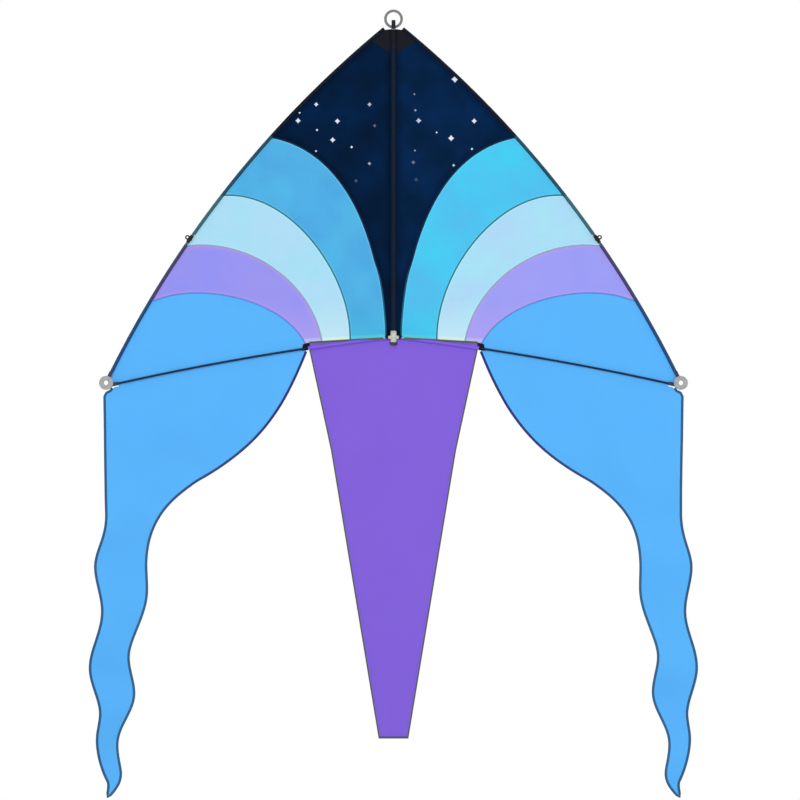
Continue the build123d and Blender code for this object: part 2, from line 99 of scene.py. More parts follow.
def feed(socket, value):
    """Links an output to an input, or sets the input's own value."""
    if isinstance(value, bpy.types.NodeSocket):
        socket.id_data.links.new(value, socket)
    else:
        socket.default_value = value


def add_node(tree, kind, inputs=None, **settings):
    """One node, with its settings and its inputs by name or number."""
    made = tree.nodes.new(kind)
    for name, value in settings.items():
        setattr(made, name, value)
    for name, value in (inputs or {}).items():
        feed(made.inputs[name], value)
    return made


def math_node(tree, operation, first, second=0.0, clamp=False):
    """The result of one sum."""
    return add_node(tree, "ShaderNodeMath", {0: first, 1: second}, operation=operation,
            use_clamp=clamp).outputs[0]


def vector_math(tree, operation, first, second=(0, 0, 0), output=0):
    return add_node(tree, "ShaderNodeVectorMath", {0: first, 1: second}, operation=operation).outputs[output]


def seen_directly(tree):
    """One where the camera, a reflection or glass looks, and zero for light that falls on things."""
    path = add_node(tree, "ShaderNodeLightPath")
    seen = math_node(tree, "ADD", path.outputs["Is Camera Ray"], path.outputs["Is Glossy Ray"])
    return math_node(tree, "ADD", seen, path.outputs["Is Transmission Ray"], clamp=True)


world = bpy.data.worlds.new("studio")
bpy.context.scene.world = world
world.use_nodes = True
sky = world.node_tree
sky.nodes.clear()
strength = math_node(sky, "MULTIPLY", seen_directly(sky), 1.0 - WORLD_LIGHT)
strength = math_node(sky, "ADD", strength, WORLD_LIGHT)
backdrop = add_node(sky, "ShaderNodeBackground", {"Color": (1, 1, 1, 1), "Strength": strength})
add_node(sky, "ShaderNodeOutputWorld", {"Surface": backdrop.outputs[0]})

lamps = {"key": ((-2.6, -4.2, 1.6), 78.0, 2.6), "fill": ((3.0, -3.6, -0.6), 44.0, 3.0),
        "back": ((1.8, 4.6, 1.4), 70.0, 3.0)}
for name, (place, power, size) in lamps.items():
    lamp = bpy.data.lights.new(name, "AREA")
    lamp.energy, lamp.size = power, size
    holder = bpy.data.objects.new(name, lamp)
    bpy.context.collection.objects.link(holder)
    holder.location = place
    aim = PICTURE_CENTRE - holder.location
    holder.rotation_euler = aim.to_track_quat("-Z", "Y").to_euler()

floor_mesh = bpy.data.meshes.new("floor")
floor_z = cad_low.z - FLOOR_DROP
floor_mesh.from_pydata([(x, y, floor_z) for x, y in ((-9, -9), (9, -9), (9, 9), (-9, 9))], [],
        [(0, 1, 2, 3)])
floor = bpy.data.objects.new("floor", floor_mesh)
bpy.context.collection.objects.link(floor)
paper = bpy.data.materials.new("floor_paper")
paper.use_nodes = True
paper.node_tree.nodes.clear()
lit = add_node(paper.node_tree, "ShaderNodeBsdfDiffuse", {"Color": (0.8, 0.8, 0.8, 1)})
glow = add_node(paper.node_tree, "ShaderNodeEmission", {"Color": (1, 1, 1, 1)})
feed(glow.inputs["Strength"], math_node(paper.node_tree, "MULTIPLY", seen_directly(paper.node_tree), 0.62))
both = add_node(paper.node_tree, "ShaderNodeAddShader", {0: lit.outputs[0], 1: glow.outputs[0]})
add_node(paper.node_tree, "ShaderNodeOutputMaterial", {"Surface": both.outputs[0]})
floor_mesh.materials.append(paper)
bpy.context.scene.view_settings.view_transform = "Standard"
print("lamps:", ", ".join(lamps), "and a floor", FLOOR_DROP, "m below the kite")

# %% [markdown]
# A wing is flat until it is turned to its dihedral, so it is easiest to think of it as its maker does, on
# the cutting table: u runs out from the spine, z runs up, and w is the height off the rods' plane.
# Both rods of a wing are sprung into arcs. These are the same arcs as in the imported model.

# %% The wing's plane and its two bowed rods
SPINE_Y = -7.7 * MM
DIHEDRAL = math.radians(6)
SAIL_HEIGHT = 3.4 * MM      # w of the middle of the sailcloth
WINDWARD = np.array([math.sin(DIHEDRAL), math.cos(DIHEDRAL), 0.0])


def wing_to_kite(u, z, w):
    """Points of the flat right wing, in the kite's frame."""
    u, z, w = np.broadcast_arrays(u, z, w)
    x = u * math.cos(DIHEDRAL) + w * math.sin(DIHEDRAL)
    y = SPINE_Y - u * math.sin(DIHEDRAL) + w * math.cos(DIHEDRAL)
    return np.stack([x, y, z], -1)


class Bow:
    """A sprung rod's line in the flat wing: an arc from start to end that bows by rise to its left."""

    def __init__(self, start, end, rise):
        first, last = np.array(start) * MM, np.array(end) * MM
        rise = rise * MM
        chord = last - first
        length = np.hypot(*chord)
        left = np.array([-chord[1], chord[0]]) / length
        self.radius = (length ** 2 / 4 + rise ** 2) / (2 * rise)
        self.centre = first + chord / 2 - left * (self.radius - rise)
        self.first_angle = math.atan2(*(first - self.centre)[::-1])
        self.length = self.radius * (self.first_angle - math.atan2(*(last - self.centre)[::-1]))

    def line(self, start, end, out=0.0, step=4 * MM):
        """Points along the rod between two travels, moved out to its left."""
        travel = np.linspace(start, end, max(2, round(abs(end - start) / step)))
        turn = self.first_angle - travel / self.radius
        reach = self.radius + out
        return self.centre + reach * np.stack([np.cos(turn), np.sin(turn)], -1)

    def out(self, u, z):
        """How far a point lies to the left of the rod."""
        return np.hypot(u - self.centre[0], z - self.centre[1]) - self.radius

    def travel(self, u, z):
        """How far along the rod a point lies."""
        return self.radius * (self.first_angle - np.arctan2(z - self.centre[1], u - self.centre[0]))


HUB_DROP = 775.0
leading = Bow((32, -30), (697, -875), 57)
spreader = Bow((8, -HUB_DROP), (688, -891), 9)
print("leading edge rod", round(leading.length, 3), "m, spreader", round(spreader.length, 3), "m")

# %% [markdown]
# Cloth that hangs in still air is never quite flat. It could be simulated, but a sail sewn to sprung rods
# only has small swells, which a few sums describe better and faster: a slack billow between the rods, a
# random swell, and short puckers where a tight seam gathers the edge. Each surface is one smooth function,
# so two sheets that are cut apart still meet along their seam.

# %% How each sheet of cloth lies
FOLD_Z = -1.050             # the tail swings here
TAIL_TOP_Z = -HUB_DROP * MM
TAIL_FOOT_Z = -1.750


def rise(distance, reach):
    """Grows smoothly from zero at a seam to one well away from it."""
    return distance ** 2 / (distance ** 2 + reach ** 2)


def past_hub(u, z, level, across, down):
    """The share of a soft bulge, with which cloth passes behind the hub's mouldings."""
    return np.exp(-(u / across) ** 2 - ((z - level) / down) ** 2)


def swell(a, b, wavelength, seed, waves=6):
    """A smooth random swell over flat cloth, mostly within one either way."""
    draw = np.random.default_rng(seed)
    total = 0.0
    for _ in range(waves):
        angle, phase = draw.uniform(0, 2 * np.pi, 2)
        pitch = wavelength * draw.uniform(0.75, 1.4)
        total = total + np.sin(2 * np.pi * (a * np.cos(angle) + b * np.sin(angle)) / pitch + phase)
    return total / (0.6 * waves)


class WingCloth:
    """The right wing's sail and streamer as one surface. The seed tells one wing's folds from the other's."""

    def __init__(self, seed):
        self.seed = seed

    def lift(self, u, z):
        edge, hem = -leading.out(u, z), spreader.out(u, z)
        held = rise(edge, 0.05) * rise(u - 0.012, 0.05) * rise(hem, 0.05) * (hem > 0)
        sail = held * (6.0 + 2.6 * swell(u, z, 0.19, self.seed) + 0.9 * swell(u, z, 0.07, self.seed + 1))
        along = leading.travel(u, z)
        gather = np.sin(2 * np.pi * along / 0.024 + 2.2 * swell(along, 0 * along, 0.09, self.seed + 2))
        clear = rise(np.maximum(edge - 0.0055, 0), 0.008)   # flat where it lies inside the edge's sleeve
        puckers = 0.8 * (1 + gather) * clear * np.exp(-np.maximum(edge, 0) / 0.016)
        sail = sail + puckers * rise(hem, 0.03) * (hem > 0)
        below = np.maximum(-hem, 0)
        folds = 3.2 * np.sin(2 * np.pi * (u + 0.25 * z) / 0.15 + self.seed) * rise(below, 0.07)
        folds = folds * np.exp(-below / 0.45)
        flutter = np.sin(2 * np.pi * (z + 0.22 * u) / 0.235 + self.seed + 0.8 * swell(u, z, 0.3,
                self.seed + 3))
        streamer = folds + 7.0 * flutter * rise(below, 0.20)
        streamer = streamer + 1.8 * swell(u, z, 0.12, self.seed + 4) * rise(below, 0.05)
        return (sail + streamer + 7.4 * past_hub(u, z, TAIL_TOP_Z, 0.018, 0.020)) * MM

    def place(self, flat, off=0.0):
        u, z = flat[:, 0], flat[:, 1]
        return wing_to_kite(u, z, SAIL_HEIGHT + self.lift(u, z) + off)


class TailCloth:
    """The tail: its top follows both wings' hems, and it is flat from the fold line down.

    A half that is cut to be mirrored reads the folds of its own side, with facing -1. A bulge, in
    millimetres, carries it past the hub."""

    def __init__(self, seed, facing=1, bulge=0.0):
        self.seed, self.facing, self.bulge = seed, facing, bulge

    def lift(self, x, z):
        x = x * self.facing
        below = np.maximum(TAIL_TOP_Z - z, 0)
        above = np.maximum(z - TAIL_FOOT_Z, 0)
        share = np.clip((z - FOLD_Z) / (TAIL_TOP_Z + 0.010 - FOLD_Z), 0, 1)
        crease = -np.abs(x) * math.tan(DIHEDRAL) * share ** 2 * (3 - 2 * share)
        slack = rise(below, 0.08) * rise(above, 0.05)
        folds = 2.6 * np.sin(2 * np.pi * (x + 0.06 * z) / 0.105 + self.seed) * np.exp(-below / 0.5)
        sway = 5.0 * np.sin(2 * np.pi * (z + 0.3 * x) / 0.52 + self.seed)
        cloth = slack * (folds + sway + 1.5 * swell(x, z, 0.13, self.seed + 1))
        return crease + (cloth + self.bulge * past_hub(x, z, TAIL_TOP_Z - 0.009, 0.0085, 0.014)) * MM

    def place(self, flat, off=0.0):
        x, z = flat[:, 0], flat[:, 1]
        return np.stack([x, SPINE_Y + SAIL_HEIGHT + self.lift(x, z) + off, z], -1)


class KeelCloth:
    """The keel hangs in the plane of the spine, with a soft bow to one side."""

    def __init__(self, seed):
        self.seed = seed

    def place(self, flat, off=0.0):
        y, z = flat[:, 0], flat[:, 1]
        root = y - SPINE_Y - 6.3 * MM
        held = rise(root, 0.03) * rise(np.hypot(y - 0.16, z + 0.33), 0.03)
        bow = held * (2.2 + 1.1 * swell(y, z, 0.14, self.seed)) * MM * np.clip(1 - root / 0.166, 0, 1)
        return np.stack([bow + off, y, z], -1)


SIDES = ("left", "right")
wing_cloth = {"left": WingCloth(21), "right": WingCloth(5)}
tail_cloth = TailCloth(3)
tail_half = {"left": TailCloth(3, -1), "right": tail_cloth}
hub_cloth = {"left": TailCloth(3, -1, 5.4), "right": TailCloth(3, 1, 5.4)}
keel_cloth = KeelCloth(8)


def up_from(surface, flat):
    """The cloth's own upright at each point, towards windward."""
    step = 0.5 * MM
    across = surface.place(flat + [step, 0]) - surface.place(flat - [step, 0])
    down = surface.place(flat - [0, step]) - surface.place(flat + [0, step])
    upright = np.cross(down, across)
    upright *= np.sign(upright @ np.array([0.02, 1.0, 0.0]))[:, None] if surface is not keel_cloth else 1.0
    return upright / np.linalg.norm(upright, axis=1)[:, None]


# %% [markdown]
# Each sheet's outline is read from the slab it replaces, as a maker traces a pattern: the slab's windward
# face has one loop of edges round it. Between sharp corners the loop is smoothed, because the slab's long
# straight steps would show on a curved hem.

# %% Trace the cutting patterns
CORNER_TURN = math.radians(24)


def traced_loops(node, flatten, facing):
    """The loops round a CAD slab's face that looks along facing, as flat points, the longest first."""
    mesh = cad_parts[node].data
    mesh.calc_loop_triangles()
    places = np.array([vertex.co for vertex in mesh.vertices])
    merged, index = np.unique(np.round(places, 6), axis=0, return_inverse=True)
    triangles = index.ravel()[np.array([triangle.vertices for triangle in mesh.loop_triangles])]
    a, b, c = (merged[triangles[:, corner]] for corner in range(3))
    upright = np.cross(b - a, c - a)
    size = np.linalg.norm(upright, axis=1)
    windward = (size > 1e-12) & (upright @ np.array(facing) > 0.8 * size)
    directed = {(start, end) for triangle in triangles[windward]
            for start, end in zip(triangle, np.roll(triangle, -1))}
    rim = {start: end for start, end in sorted(directed) if (end, start) not in directed}
    loops = []
    while rim:
        loop = [next(iter(rim))]
        while loop[-1] in rim:
            loop.append(rim.pop(loop[-1]))
        loops.append(flatten(merged[loop[:-1]]))
    return sorted(loops, key=lambda loop: -np.ptp(loop[:, 1]))


def flat_wing(places):
    u = places[:, 0] * math.cos(DIHEDRAL) - (places[:, 1] - SPINE_Y) * math.sin(DIHEDRAL)
    return np.stack([u, places[:, 2]], -1)


def smoothed(loop, spacing):
    """The loop with its corners kept, and an even step along the smooth curves between them."""
    way = loop - np.roll(loop, 1, 0)
    way = way / np.linalg.norm(way, axis=1)[:, None]
    after = np.roll(way, -1, 0)
    turn = np.abs(np.arctan2(way[:, 0] * after[:, 1] - way[:, 1] * after[:, 0], (way * after).sum(1)))
    corners = np.flatnonzero(turn > CORNER_TURN)
    corners = corners if len(corners) else np.array([0])
    pieces = []
    for start, end in zip(corners, np.roll(corners, -1)):
        span = (end - start) % len(loop) or len(loop)
        run = loop[(start + np.arange(span + 1)) % len(loop)]
        pieces.append(smooth_run(run, spacing)[:-1])
    return np.concatenate(pieces)


def smooth_run(run, spacing):
    """A Catmull-Rom curve through the run's points, in steps of about spacing."""
    padded = np.concatenate([[2 * run[0] - run[1]], run, [2 * run[-1] - run[-2]]])
    points = []
    for before, start, end, after in zip(padded, padded[1:], padded[2:], padded[3:]):
        steps = max(1, math.ceil(np.hypot(*(end - start)) / spacing))
        share = (np.arange(steps) / steps)[:, None]
        reach = np.hypot(*(end - start))
        lead = (end - before) / max(np.hypot(*(end - before)), 1e-9) * reach
        trail = (after - start) / max(np.hypot(*(after - start)), 1e-9) * reach
        square, cube = share ** 2, share ** 3
        points.append((2 * cube - 3 * square + 1) * start + (cube - 2 * square + share) * lead
                      + (3 * square - 2 * cube) * end + (cube - square) * trail)
    points = np.concatenate(points + [run[-1:]])
    kept = [0]
    for number in range(1, len(points)):
        if np.hypot(*(points[number] - points[kept[-1]])) > 0.4 * spacing or number == len(points) - 1:
            kept.append(number)
    return points[kept]


patterns = {}
for band in ("navy", "azure", "pale", "lavender", "blue"):
    patterns[band] = traced_loops(f"right_panel_{band}", flat_wing, WINDWARD)
patterns["streamer"] = traced_loops("right_streamer", flat_wing, WINDWARD)
patterns["nose_patch"] = traced_loops("right_nose_patch", flat_wing, WINDWARD)
patterns["header"] = traced_loops("tail_header", lambda places: places[:, [0, 2]], (0, 1, 0))
patterns["tail"] = traced_loops("centre_tail", lambda places: places[:, [0, 2]], (0, 1, 0))
patterns["keel"] = traced_loops("keel_panel", lambda places: places[:, [1, 2]], (1, 0, 0))
for name, loops in patterns.items():
    print("pattern", name, [len(loop) for loop in loops], np.round(np.ptp(loops[0], axis=0), 3))

# %% [markdown]
# A sheet is its pattern filled with small, even triangles: an evenly spaced lattice inside, the outline
# round it, and Delaunay's rule to join them. Every point keeps its flat place as a UV in metres, so the
# weave follows the cloth through every fold. The cloth's half-millimetre thickness comes from Solidify.

# %% Cut a sheet of cloth
CLOTH = 0.5 * MM
SPACING = 6.5 * MM


def inside(points, loops):
    """Which points lie inside the loops, holes left out."""
    crossed = np.zeros(len(points), bool)
    for loop in loops:
        for start, end in zip(loop, np.roll(loop, -1, 0)):
            spans = (start[1] > points[:, 1]) != (end[1] > points[:, 1])
            rise_over = end[1] - start[1] if end[1] != start[1] else 1e-12
            level = start[0] + (points[:, 1] - start[1]) * (end[0] - start[0]) / rise_over
            crossed ^= spans & (points[:, 0] < level)
    return crossed


def distance_to(points, loops, closed=True):
    """Each point's distance to the nearest loop."""
    nearest = np.full(len(points), np.inf)
    for loop in loops:
        ends = np.roll(loop, -1, 0) if closed else loop[1:]
        for start, end in zip(loop, ends):
            way = end - start
            share = np.clip((points - start) @ way / max(way @ way, 1e-12), 0, 1)
            gap = points - start - share[:, None] * way
            nearest = np.minimum(nearest, np.hypot(gap[:, 0], gap[:, 1]))
    return nearest


def filled(loops, spacing, extra=None):
    """Points and triangles that fill the loops."""
    low, high = loops[0].min(0), loops[0].max(0)
    rows = np.arange(low[1], high[1], spacing * math.sqrt(3) / 2)
    lattice = [(column + (number % 2) * spacing / 2, row) for number, row in enumerate(rows)
            for column in np.arange(low[0], high[0], spacing)]
    lattice = np.array(lattice)
    if extra is not None:
        lattice = np.concatenate([extra, lattice[distance_to(lattice, [extra], False) > 0.6 * spacing]])
    lattice = lattice[inside(lattice, loops)]
    lattice = lattice[distance_to(lattice, loops) > 0.55 * spacing]
    rim, edges = [], []
    for loop in loops:
        first = len(rim)
        rim.extend(loop)
        edges.extend((first + number, first + (number + 1) % len(loop)) for number in range(len(loop)))
    points = [Vector(point) for point in [*rim, *lattice]]
    points, _, faces, *_ = geometry.delaunay_2d_cdt(points, edges, [], 0, 1e-7)
    points = np.array(points)
    middles = np.array([points[list(face)].mean(0) for face in faces])
    return points, [face for face, kept in zip(faces, inside(middles, loops)) if kept]


def plain_mesh(worker, name):
    """The worker object's result as a plain mesh in an object of its own. The worker is removed."""
    bpy.context.view_layer.update()
    graph = bpy.context.evaluated_depsgraph_get()
    mesh = bpy.data.meshes.new_from_object(worker.evaluated_get(graph))
    bpy.data.objects.remove(worker)
    mesh.name = name
    piece = bpy.data.objects.new(name, mesh)
    bpy.context.collection.objects.link(piece)
    mesh.shade_smooth()
    mesh.set_sharp_from_angle(angle=math.radians(48))
    return piece


def mirrored(piece):
    """Turns a right-hand piece into the left-hand one."""
    places = np.array([vertex.co for vertex in piece.data.vertices])
    places[:, 0] *= -1
    piece.data.vertices.foreach_set("co", places.ravel())
    piece.data.flip_normals()
    return piece


def cut_sheet(name, loops, surface, material, side="right", off=0.0, spacing=SPACING, extra=None):
    """A sheet cut to the loops and laid on its surface."""
    points, faces = filled(loops, spacing, extra)
    mesh = bpy.data.meshes.new(name)
    mesh.from_pydata(surface.place(points, off), [], faces)
    cut = mesh.uv_layers.new(name="cut")
    corners = np.zeros(len(mesh.loops), int)
    mesh.loops.foreach_get("vertex_index", corners)
    cut.data.foreach_set("uv", points[corners].ravel())
    rim = mesh.attributes.new("rim", "FLOAT", "POINT")
    rim.data.foreach_set("value", distance_to(points, loops))
    mesh.materials.append(material)
    worker = bpy.data.objects.new(name, mesh)
    bpy.context.collection.objects.link(worker)
    solid = worker.modifiers.new("cloth thickness", "SOLIDIFY")
    solid.thickness, solid.offset = CLOTH, 0
    piece = plain_mesh(worker, name)
    piece = mirrored(piece) if side == "left" else piece
    outward = sum(face.normal.y * face.area for face in piece.data.polygons[:len(faces)])
    print(name, len(piece.data.polygons), "faces, the first side faces",
            "windward" if outward > 0 else "leeward")
    return piece


def flat_size(loops):
    """The smallest rectangle that the pattern is cut from, and the pattern's own area."""
    best = None
    for degrees in range(90):
        turn = math.radians(degrees)
        turned = loops[0] @ np.array([[math.cos(turn), -math.sin(turn)], [math.sin(turn), math.cos(turn)]])
        size = np.ptp(turned, axis=0)
        if best is None or size[0] * size[1] < best[0] * best[1]:
            best = size
    area = abs(np.cross(loops[0], np.roll(loops[0], -1, 0)).sum()) / 2
    return sorted(float(length) for length in best), float(area)


# %% [markdown]
# The slabs keep small gaps at the folds and a strip free beside the spine, so that nothing rubs in the
# model. Real cloth runs on through both. So the sheets reach in to the spine's sleeve, and the two sheets
# at a fold are cut on the fold line itself.

# %% Let the patterns out to the folds and the spine
SPINE_EDGE_U = 5.0 * MM
SLAB_START_U = 12.2 * MM
NOSE_CLOTH_TOP = -24.6 * MM
NOSE_REACH = -11 * MM       # how far the edge's sleeve runs on past the rod's upper end
KEEL_ROOT = 4.7 * MM        # from the spine's axis back to the keel's seam
NAVY_FOOT = -781.5 * MM     # behind the hub's arms
ARM_FOOT = -780.6 * MM      # just under the hub's arms, which no cloth of the header may foul
HINGE_DROP = 6.5 * MM
corner_u = 0.214
corner_travel = spreader.travel(corner_u, -0.80)
for _ in range(3):
    corner_travel += (corner_u - spreader.line(corner_travel, corner_travel + 1e-6)[0][0])
hinge_start = spreader.line(corner_travel, corner_travel + 1e-6)[0] - [0, HINGE_DROP]
hinge_end = np.array([0.688, -0.891 - HINGE_DROP])
hinge_way = (hinge_end - hinge_start) / np.hypot(*(hinge_end - hinge_start))
hinge_across = np.array([hinge_way[1], -hinge_way[0]])
print("streamer fold from", hinge_start.round(4), "to", hinge_end)


def to_spine(loop):
    """A loop let in to the spine, and up into the nose's corner."""
    loop = loop.copy()
    loop[loop[:, 0] < SLAB_START_U + 1.0 * MM, 0] = SPINE_EDGE_U
    inner_top = (loop[:, 0] == SPINE_EDGE_U) & (loop[:, 1] > -50 * MM)
    loop[inner_top, 1] = NOSE_CLOTH_TOP
    outer_top = (loop[:, 0] > SPINE_EDGE_U) & (loop[:, 1] > -35 * MM)
    loop[outer_top] = leading.line(NOSE_REACH + 2 * MM, 0, -3.4 * MM)[0]
    foot = (loop[:, 0] < 20 * MM) & (loop[:, 1] < -771 * MM)
    loop[foot, 1] = NAVY_FOOT
    inner_foot = int(np.flatnonzero(foot & (loop[:, 0] == SPINE_EDGE_U))[0]) if foot.any() else None
    if inner_foot is None:
        return loop
    beside_rod = [[0.6 * MM, NAVY_FOOT], [0.6 * MM, -758 * MM], [SPINE_EDGE_U, -756 * MM]]
    return np.concatenate([loop[:inner_foot], beside_rod, loop[inner_foot + 1:]])


def narrowed_foot(loop):
    """The seam between navy and azure stands a little nearer to the spine at its foot."""
    share = np.clip((-0.580 - loop[:, 1]) / 0.050, 0, 1)
    near = (loop[:, 0] > 14 * MM) & (loop[:, 0] < 62 * MM)
    shift = 3.3 * MM * share ** 2 * (3 - 2 * share) * near
    return loop - np.stack([shift, 0 * shift], -1)


def to_streamer_fold(loop):
    away = (loop - hinge_start) @ hinge_across
    near = np.abs(away) < 1.0 * MM
    return np.where(near[:, None], loop - away[:, None] * hinge_across, loop)


def to_tail_fold(loop):
    loop = loop.copy()
    loop[np.abs(loop[:, 1] - FOLD_Z) < 1.0 * MM, 1] = FOLD_Z
    return loop


def to_keel_root(loop):
    """The keel's root, let in to the back of the spine's sleeve."""
    loop = loop.copy()
    loop[loop[:, 0] < SPINE_Y + 6.6 * MM, 0] = SPINE_Y + KEEL_ROOT
    return loop


def right_half(loop):
    """What of a loop lies to the right of the spine."""
    kept = []
    for start, end in zip(loop, np.roll(loop, -1, 0)):
        if start[0] > 1e-6:
            kept.append(start)
        if (start[0] > 1e-6) != (end[0] > 1e-6):
            kept.append(start + (end - start) * start[0] / (start[0] - end[0]))
    return np.array(kept)


def tucked_under_hem(loop):
    """The header's top edge, let out behind the hem's channel but not behind the hub's arm."""
    loop = loop.copy()
    top = (spreader.out(loop[:, 0], loop[:, 1]) > -6 * MM) & (loop[:, 0] > 12 * MM)
    loop[top, 1] += 3.2 * MM
    corner = int(np.flatnonzero((loop[:, 0] < 12 * MM) & (loop[:, 1] > -782 * MM))[0])
    past_arm = [[loop[corner, 0], ARM_FOOT], [16.6 * MM, ARM_FOOT], [17 * MM, -777.8 * MM]]
    return np.concatenate([loop[:corner], past_arm, loop[corner + 1:]])


patterns["navy"] = [to_spine(narrowed_foot(patterns["navy"][0]))]
patterns["azure"] = [narrowed_foot(patterns["azure"][0])]
patterns["nose_patch"] = [to_spine(patterns["nose_patch"][0])]
patterns["blue"] = [to_streamer_fold(patterns["blue"][0])]
patterns["streamer"] = [to_streamer_fold(patterns["streamer"][0])]
patterns["header"] = [tucked_under_hem(to_tail_fold(right_half(patterns["header"][0])))]
patterns["tail"] = [to_tail_fold(patterns["tail"][0])]
patterns["keel"][0] = to_keel_root(patterns["keel"][0])
edge_step = {"nose_patch": 4 * MM, "keel": 5 * MM}
patterns = {name: [smoothed(loop, edge_step.get(name, SPACING)) for loop in loops]
        for name, loops in patterns.items()}
for name, loops in patterns.items():
    size, area = flat_size(loops)
    print("cut", name, "from", np.round(size, 3), "m, area", round(area, 4), "m2")

# %% [markdown]
# Ripstop nylon is a fine plain weave with a stronger thread every few millimetres, both ways. Close up
# that lattice is its signature. One shader group draws it from the cloth's flat UV, so all the sheets
# share it. A second group gives a slow mottling, because dyed and printed cloth is never one even tone.

# %% Shader groups for cloth
def colour(red, green, blue):
    """A screen colour from 0 to 255, as the renderer's linear one."""
    def linear(value):
        value /= 255
        return value / 12.92 if value <= 0.04045 else ((value + 0.055) / 1.055) ** 2.4
    return (linear(red), linear(green), linear(blue), 1.0)


def shader_group(name, inputs, outputs):
    """An empty shader group, and the sockets that it is given and those that it makes."""
    group = bpy.data.node_groups.new(name, "ShaderNodeTree")
    kinds = {"vector": "NodeSocketVector", "value": "NodeSocketFloat", "colour": "NodeSocketColor"}
    for socket, kind, *start in inputs:
        made = group.interface.new_socket(socket, in_out="INPUT", socket_type=kinds[kind])
        if start:
            made.default_value = start[0]
    for socket, kind in outputs:
        group.interface.new_socket(socket, in_out="OUTPUT", socket_type=kinds[kind])
    return group, group.nodes.new("NodeGroupInput").outputs, group.nodes.new("NodeGroupOutput").inputs


def use_group(tree, group, inputs):
    """Places a shader group in a material."""
    placed = tree.nodes.new("ShaderNodeGroup")
    placed.node_tree = group
    for name, value in inputs.items():
        feed(placed.inputs[name], value)
    return placed


def ripstop_group():
    inputs = [("Vector", "vector"), ("Cell", "value", 5 * MM), ("Thread", "value", 0.55 * MM),
            ("Weave", "value", 0.5 * MM)]
    group, given, made = shader_group("ripstop_weave", inputs, [("Height", "value"), ("Lattice", "value")])
    axes = add_node(group, "ShaderNodeSeparateXYZ", {0: given["Vector"]})
    threads, waves = [], []
    for axis in ("X", "Y"):
        place = axes.outputs[axis]
        away = math_node(group, "PINGPONG", place, math_node(group, "MULTIPLY", given["Cell"], 0.5))
        near = math_node(group, "DIVIDE", away, given["Thread"])
        threads.append(math_node(group, "SUBTRACT", 1.0, near, clamp=True))
        turn = math_node(group, "DIVIDE", place, given["Weave"])
        waves.append(math_node(group, "SINE", math_node(group, "MULTIPLY", turn, 2 * math.pi)))
    lattice = math_node(group, "MAXIMUM", *threads)
    weave = math_node(group, "MULTIPLY", *waves)
    height = math_node(group, "ADD", math_node(group, "MULTIPLY", weave, 0.25), lattice)
    feed(made["Height"], height)
    feed(made["Lattice"], lattice)
    return group


def mottle_group():
    inputs = [("Vector", "vector"), ("Size", "value", 0.1), ("Contrast", "value", 1.0)]
    group, given, made = shader_group("slow_mottling", inputs, [("Amount", "value")])
    scale = math_node(group, "DIVIDE", 1.0, given["Size"])
    noise = add_node(group, "ShaderNodeTexNoise", {"Vector": given["Vector"], "Scale": scale, "Detail": 3.0})
    centred = math_node(group, "SUBTRACT", noise.outputs[0], 0.5)
    spread = math_node(group, "MULTIPLY", centred, given["Contrast"])
    feed(made["Amount"], math_node(group, "ADD", spread, 0.5, clamp=True))
    return group


def star_group():
    """Small four-pointed stars of mixed size, one here and there in a lattice of cells."""
    inputs = [("Vector", "vector"), ("Shift", "value"), ("Cell", "value", 46 * MM), ("Kept", "value", 0.42),
            ("Largest", "value", 0.17)]
    group, given, made = shader_group("star_scatter", inputs, [("Star", "value")])
    scale = math_node(group, "DIVIDE", 1.0, given["Cell"])
    moved = vector_math(group, "ADD", given["Vector"], given["Shift"])
    cells = add_node(group, "ShaderNodeTexVoronoi",
            {"Vector": moved, "Scale": scale, "Exponent": 0.8, "Randomness": 0.9}, distance="MINKOWSKI",
            voronoi_dimensions="2D")
    lots = add_node(group, "ShaderNodeSeparateColor", {0: cells.outputs["Color"]})
    chosen = math_node(group, "LESS_THAN", lots.outputs["Red"], given["Kept"])
    size = math_node(group, "MULTIPLY", math_node(group, "POWER", lots.outputs["Green"], 1.6),
            given["Largest"])
    size = math_node(group, "ADD", size, 0.07)
    core = math_node(group, "DIVIDE", cells.outputs["Distance"], size)
    fade = math_node(group, "MULTIPLY", math_node(group, "SUBTRACT", 1.0, core), 3.5, clamp=True)
    feed(made["Star"], math_node(group, "MULTIPLY", fade, chosen))
    return group


HEM_LEVEL, HEM_SLOPE = -0.776, -0.058      # the facing's top edge, z against u


def facing_group():
    """Where the header's cloth is turned up over the sail's foot, and the height above its top edge."""
    group, given, made = shader_group("hem_facing", [("Vector", "vector")],
            [("Height", "value"), ("Facing", "value")])
    axes = add_node(group, "ShaderNodeSeparateXYZ", {0: vector_math(group, "ABSOLUTE", given["Vector"])})
    edge = math_node(group, "SUBTRACT", -HEM_LEVEL,
            math_node(group, "MULTIPLY", axes.outputs["X"], HEM_SLOPE))
    height = math_node(group, "SUBTRACT", edge, axes.outputs["Y"])
    feed(made["Height"], height)
    feed(made["Facing"], math_node(group, "LESS_THAN", height, 0.0))
    return group


ripstop_weave, slow_mottling, star_scatter = ripstop_group(), mottle_group(), star_group()
hem_facing = facing_group()
print("shader groups:", [group.name for group in bpy.data.node_groups])


# %% Sailcloth
def new_material(name):
    material = bpy.data.materials.new(name)
    material.use_nodes = True
    tree = material.node_tree
    tree.nodes.clear()
    return material, tree


def coat(tree, values):
    """A principled surface, with each value's wire or number on its own input."""
    shader = add_node(tree, "ShaderNodeBsdfPrincipled", values)
    add_node(tree, "ShaderNodeOutputMaterial", {"Surface": shader.outputs[0]})


def relief(tree, height, strength, depth):
    return add_node(tree, "ShaderNodeBump",
            {"Height": height, "Strength": strength, "Distance": depth}).outputs[0]


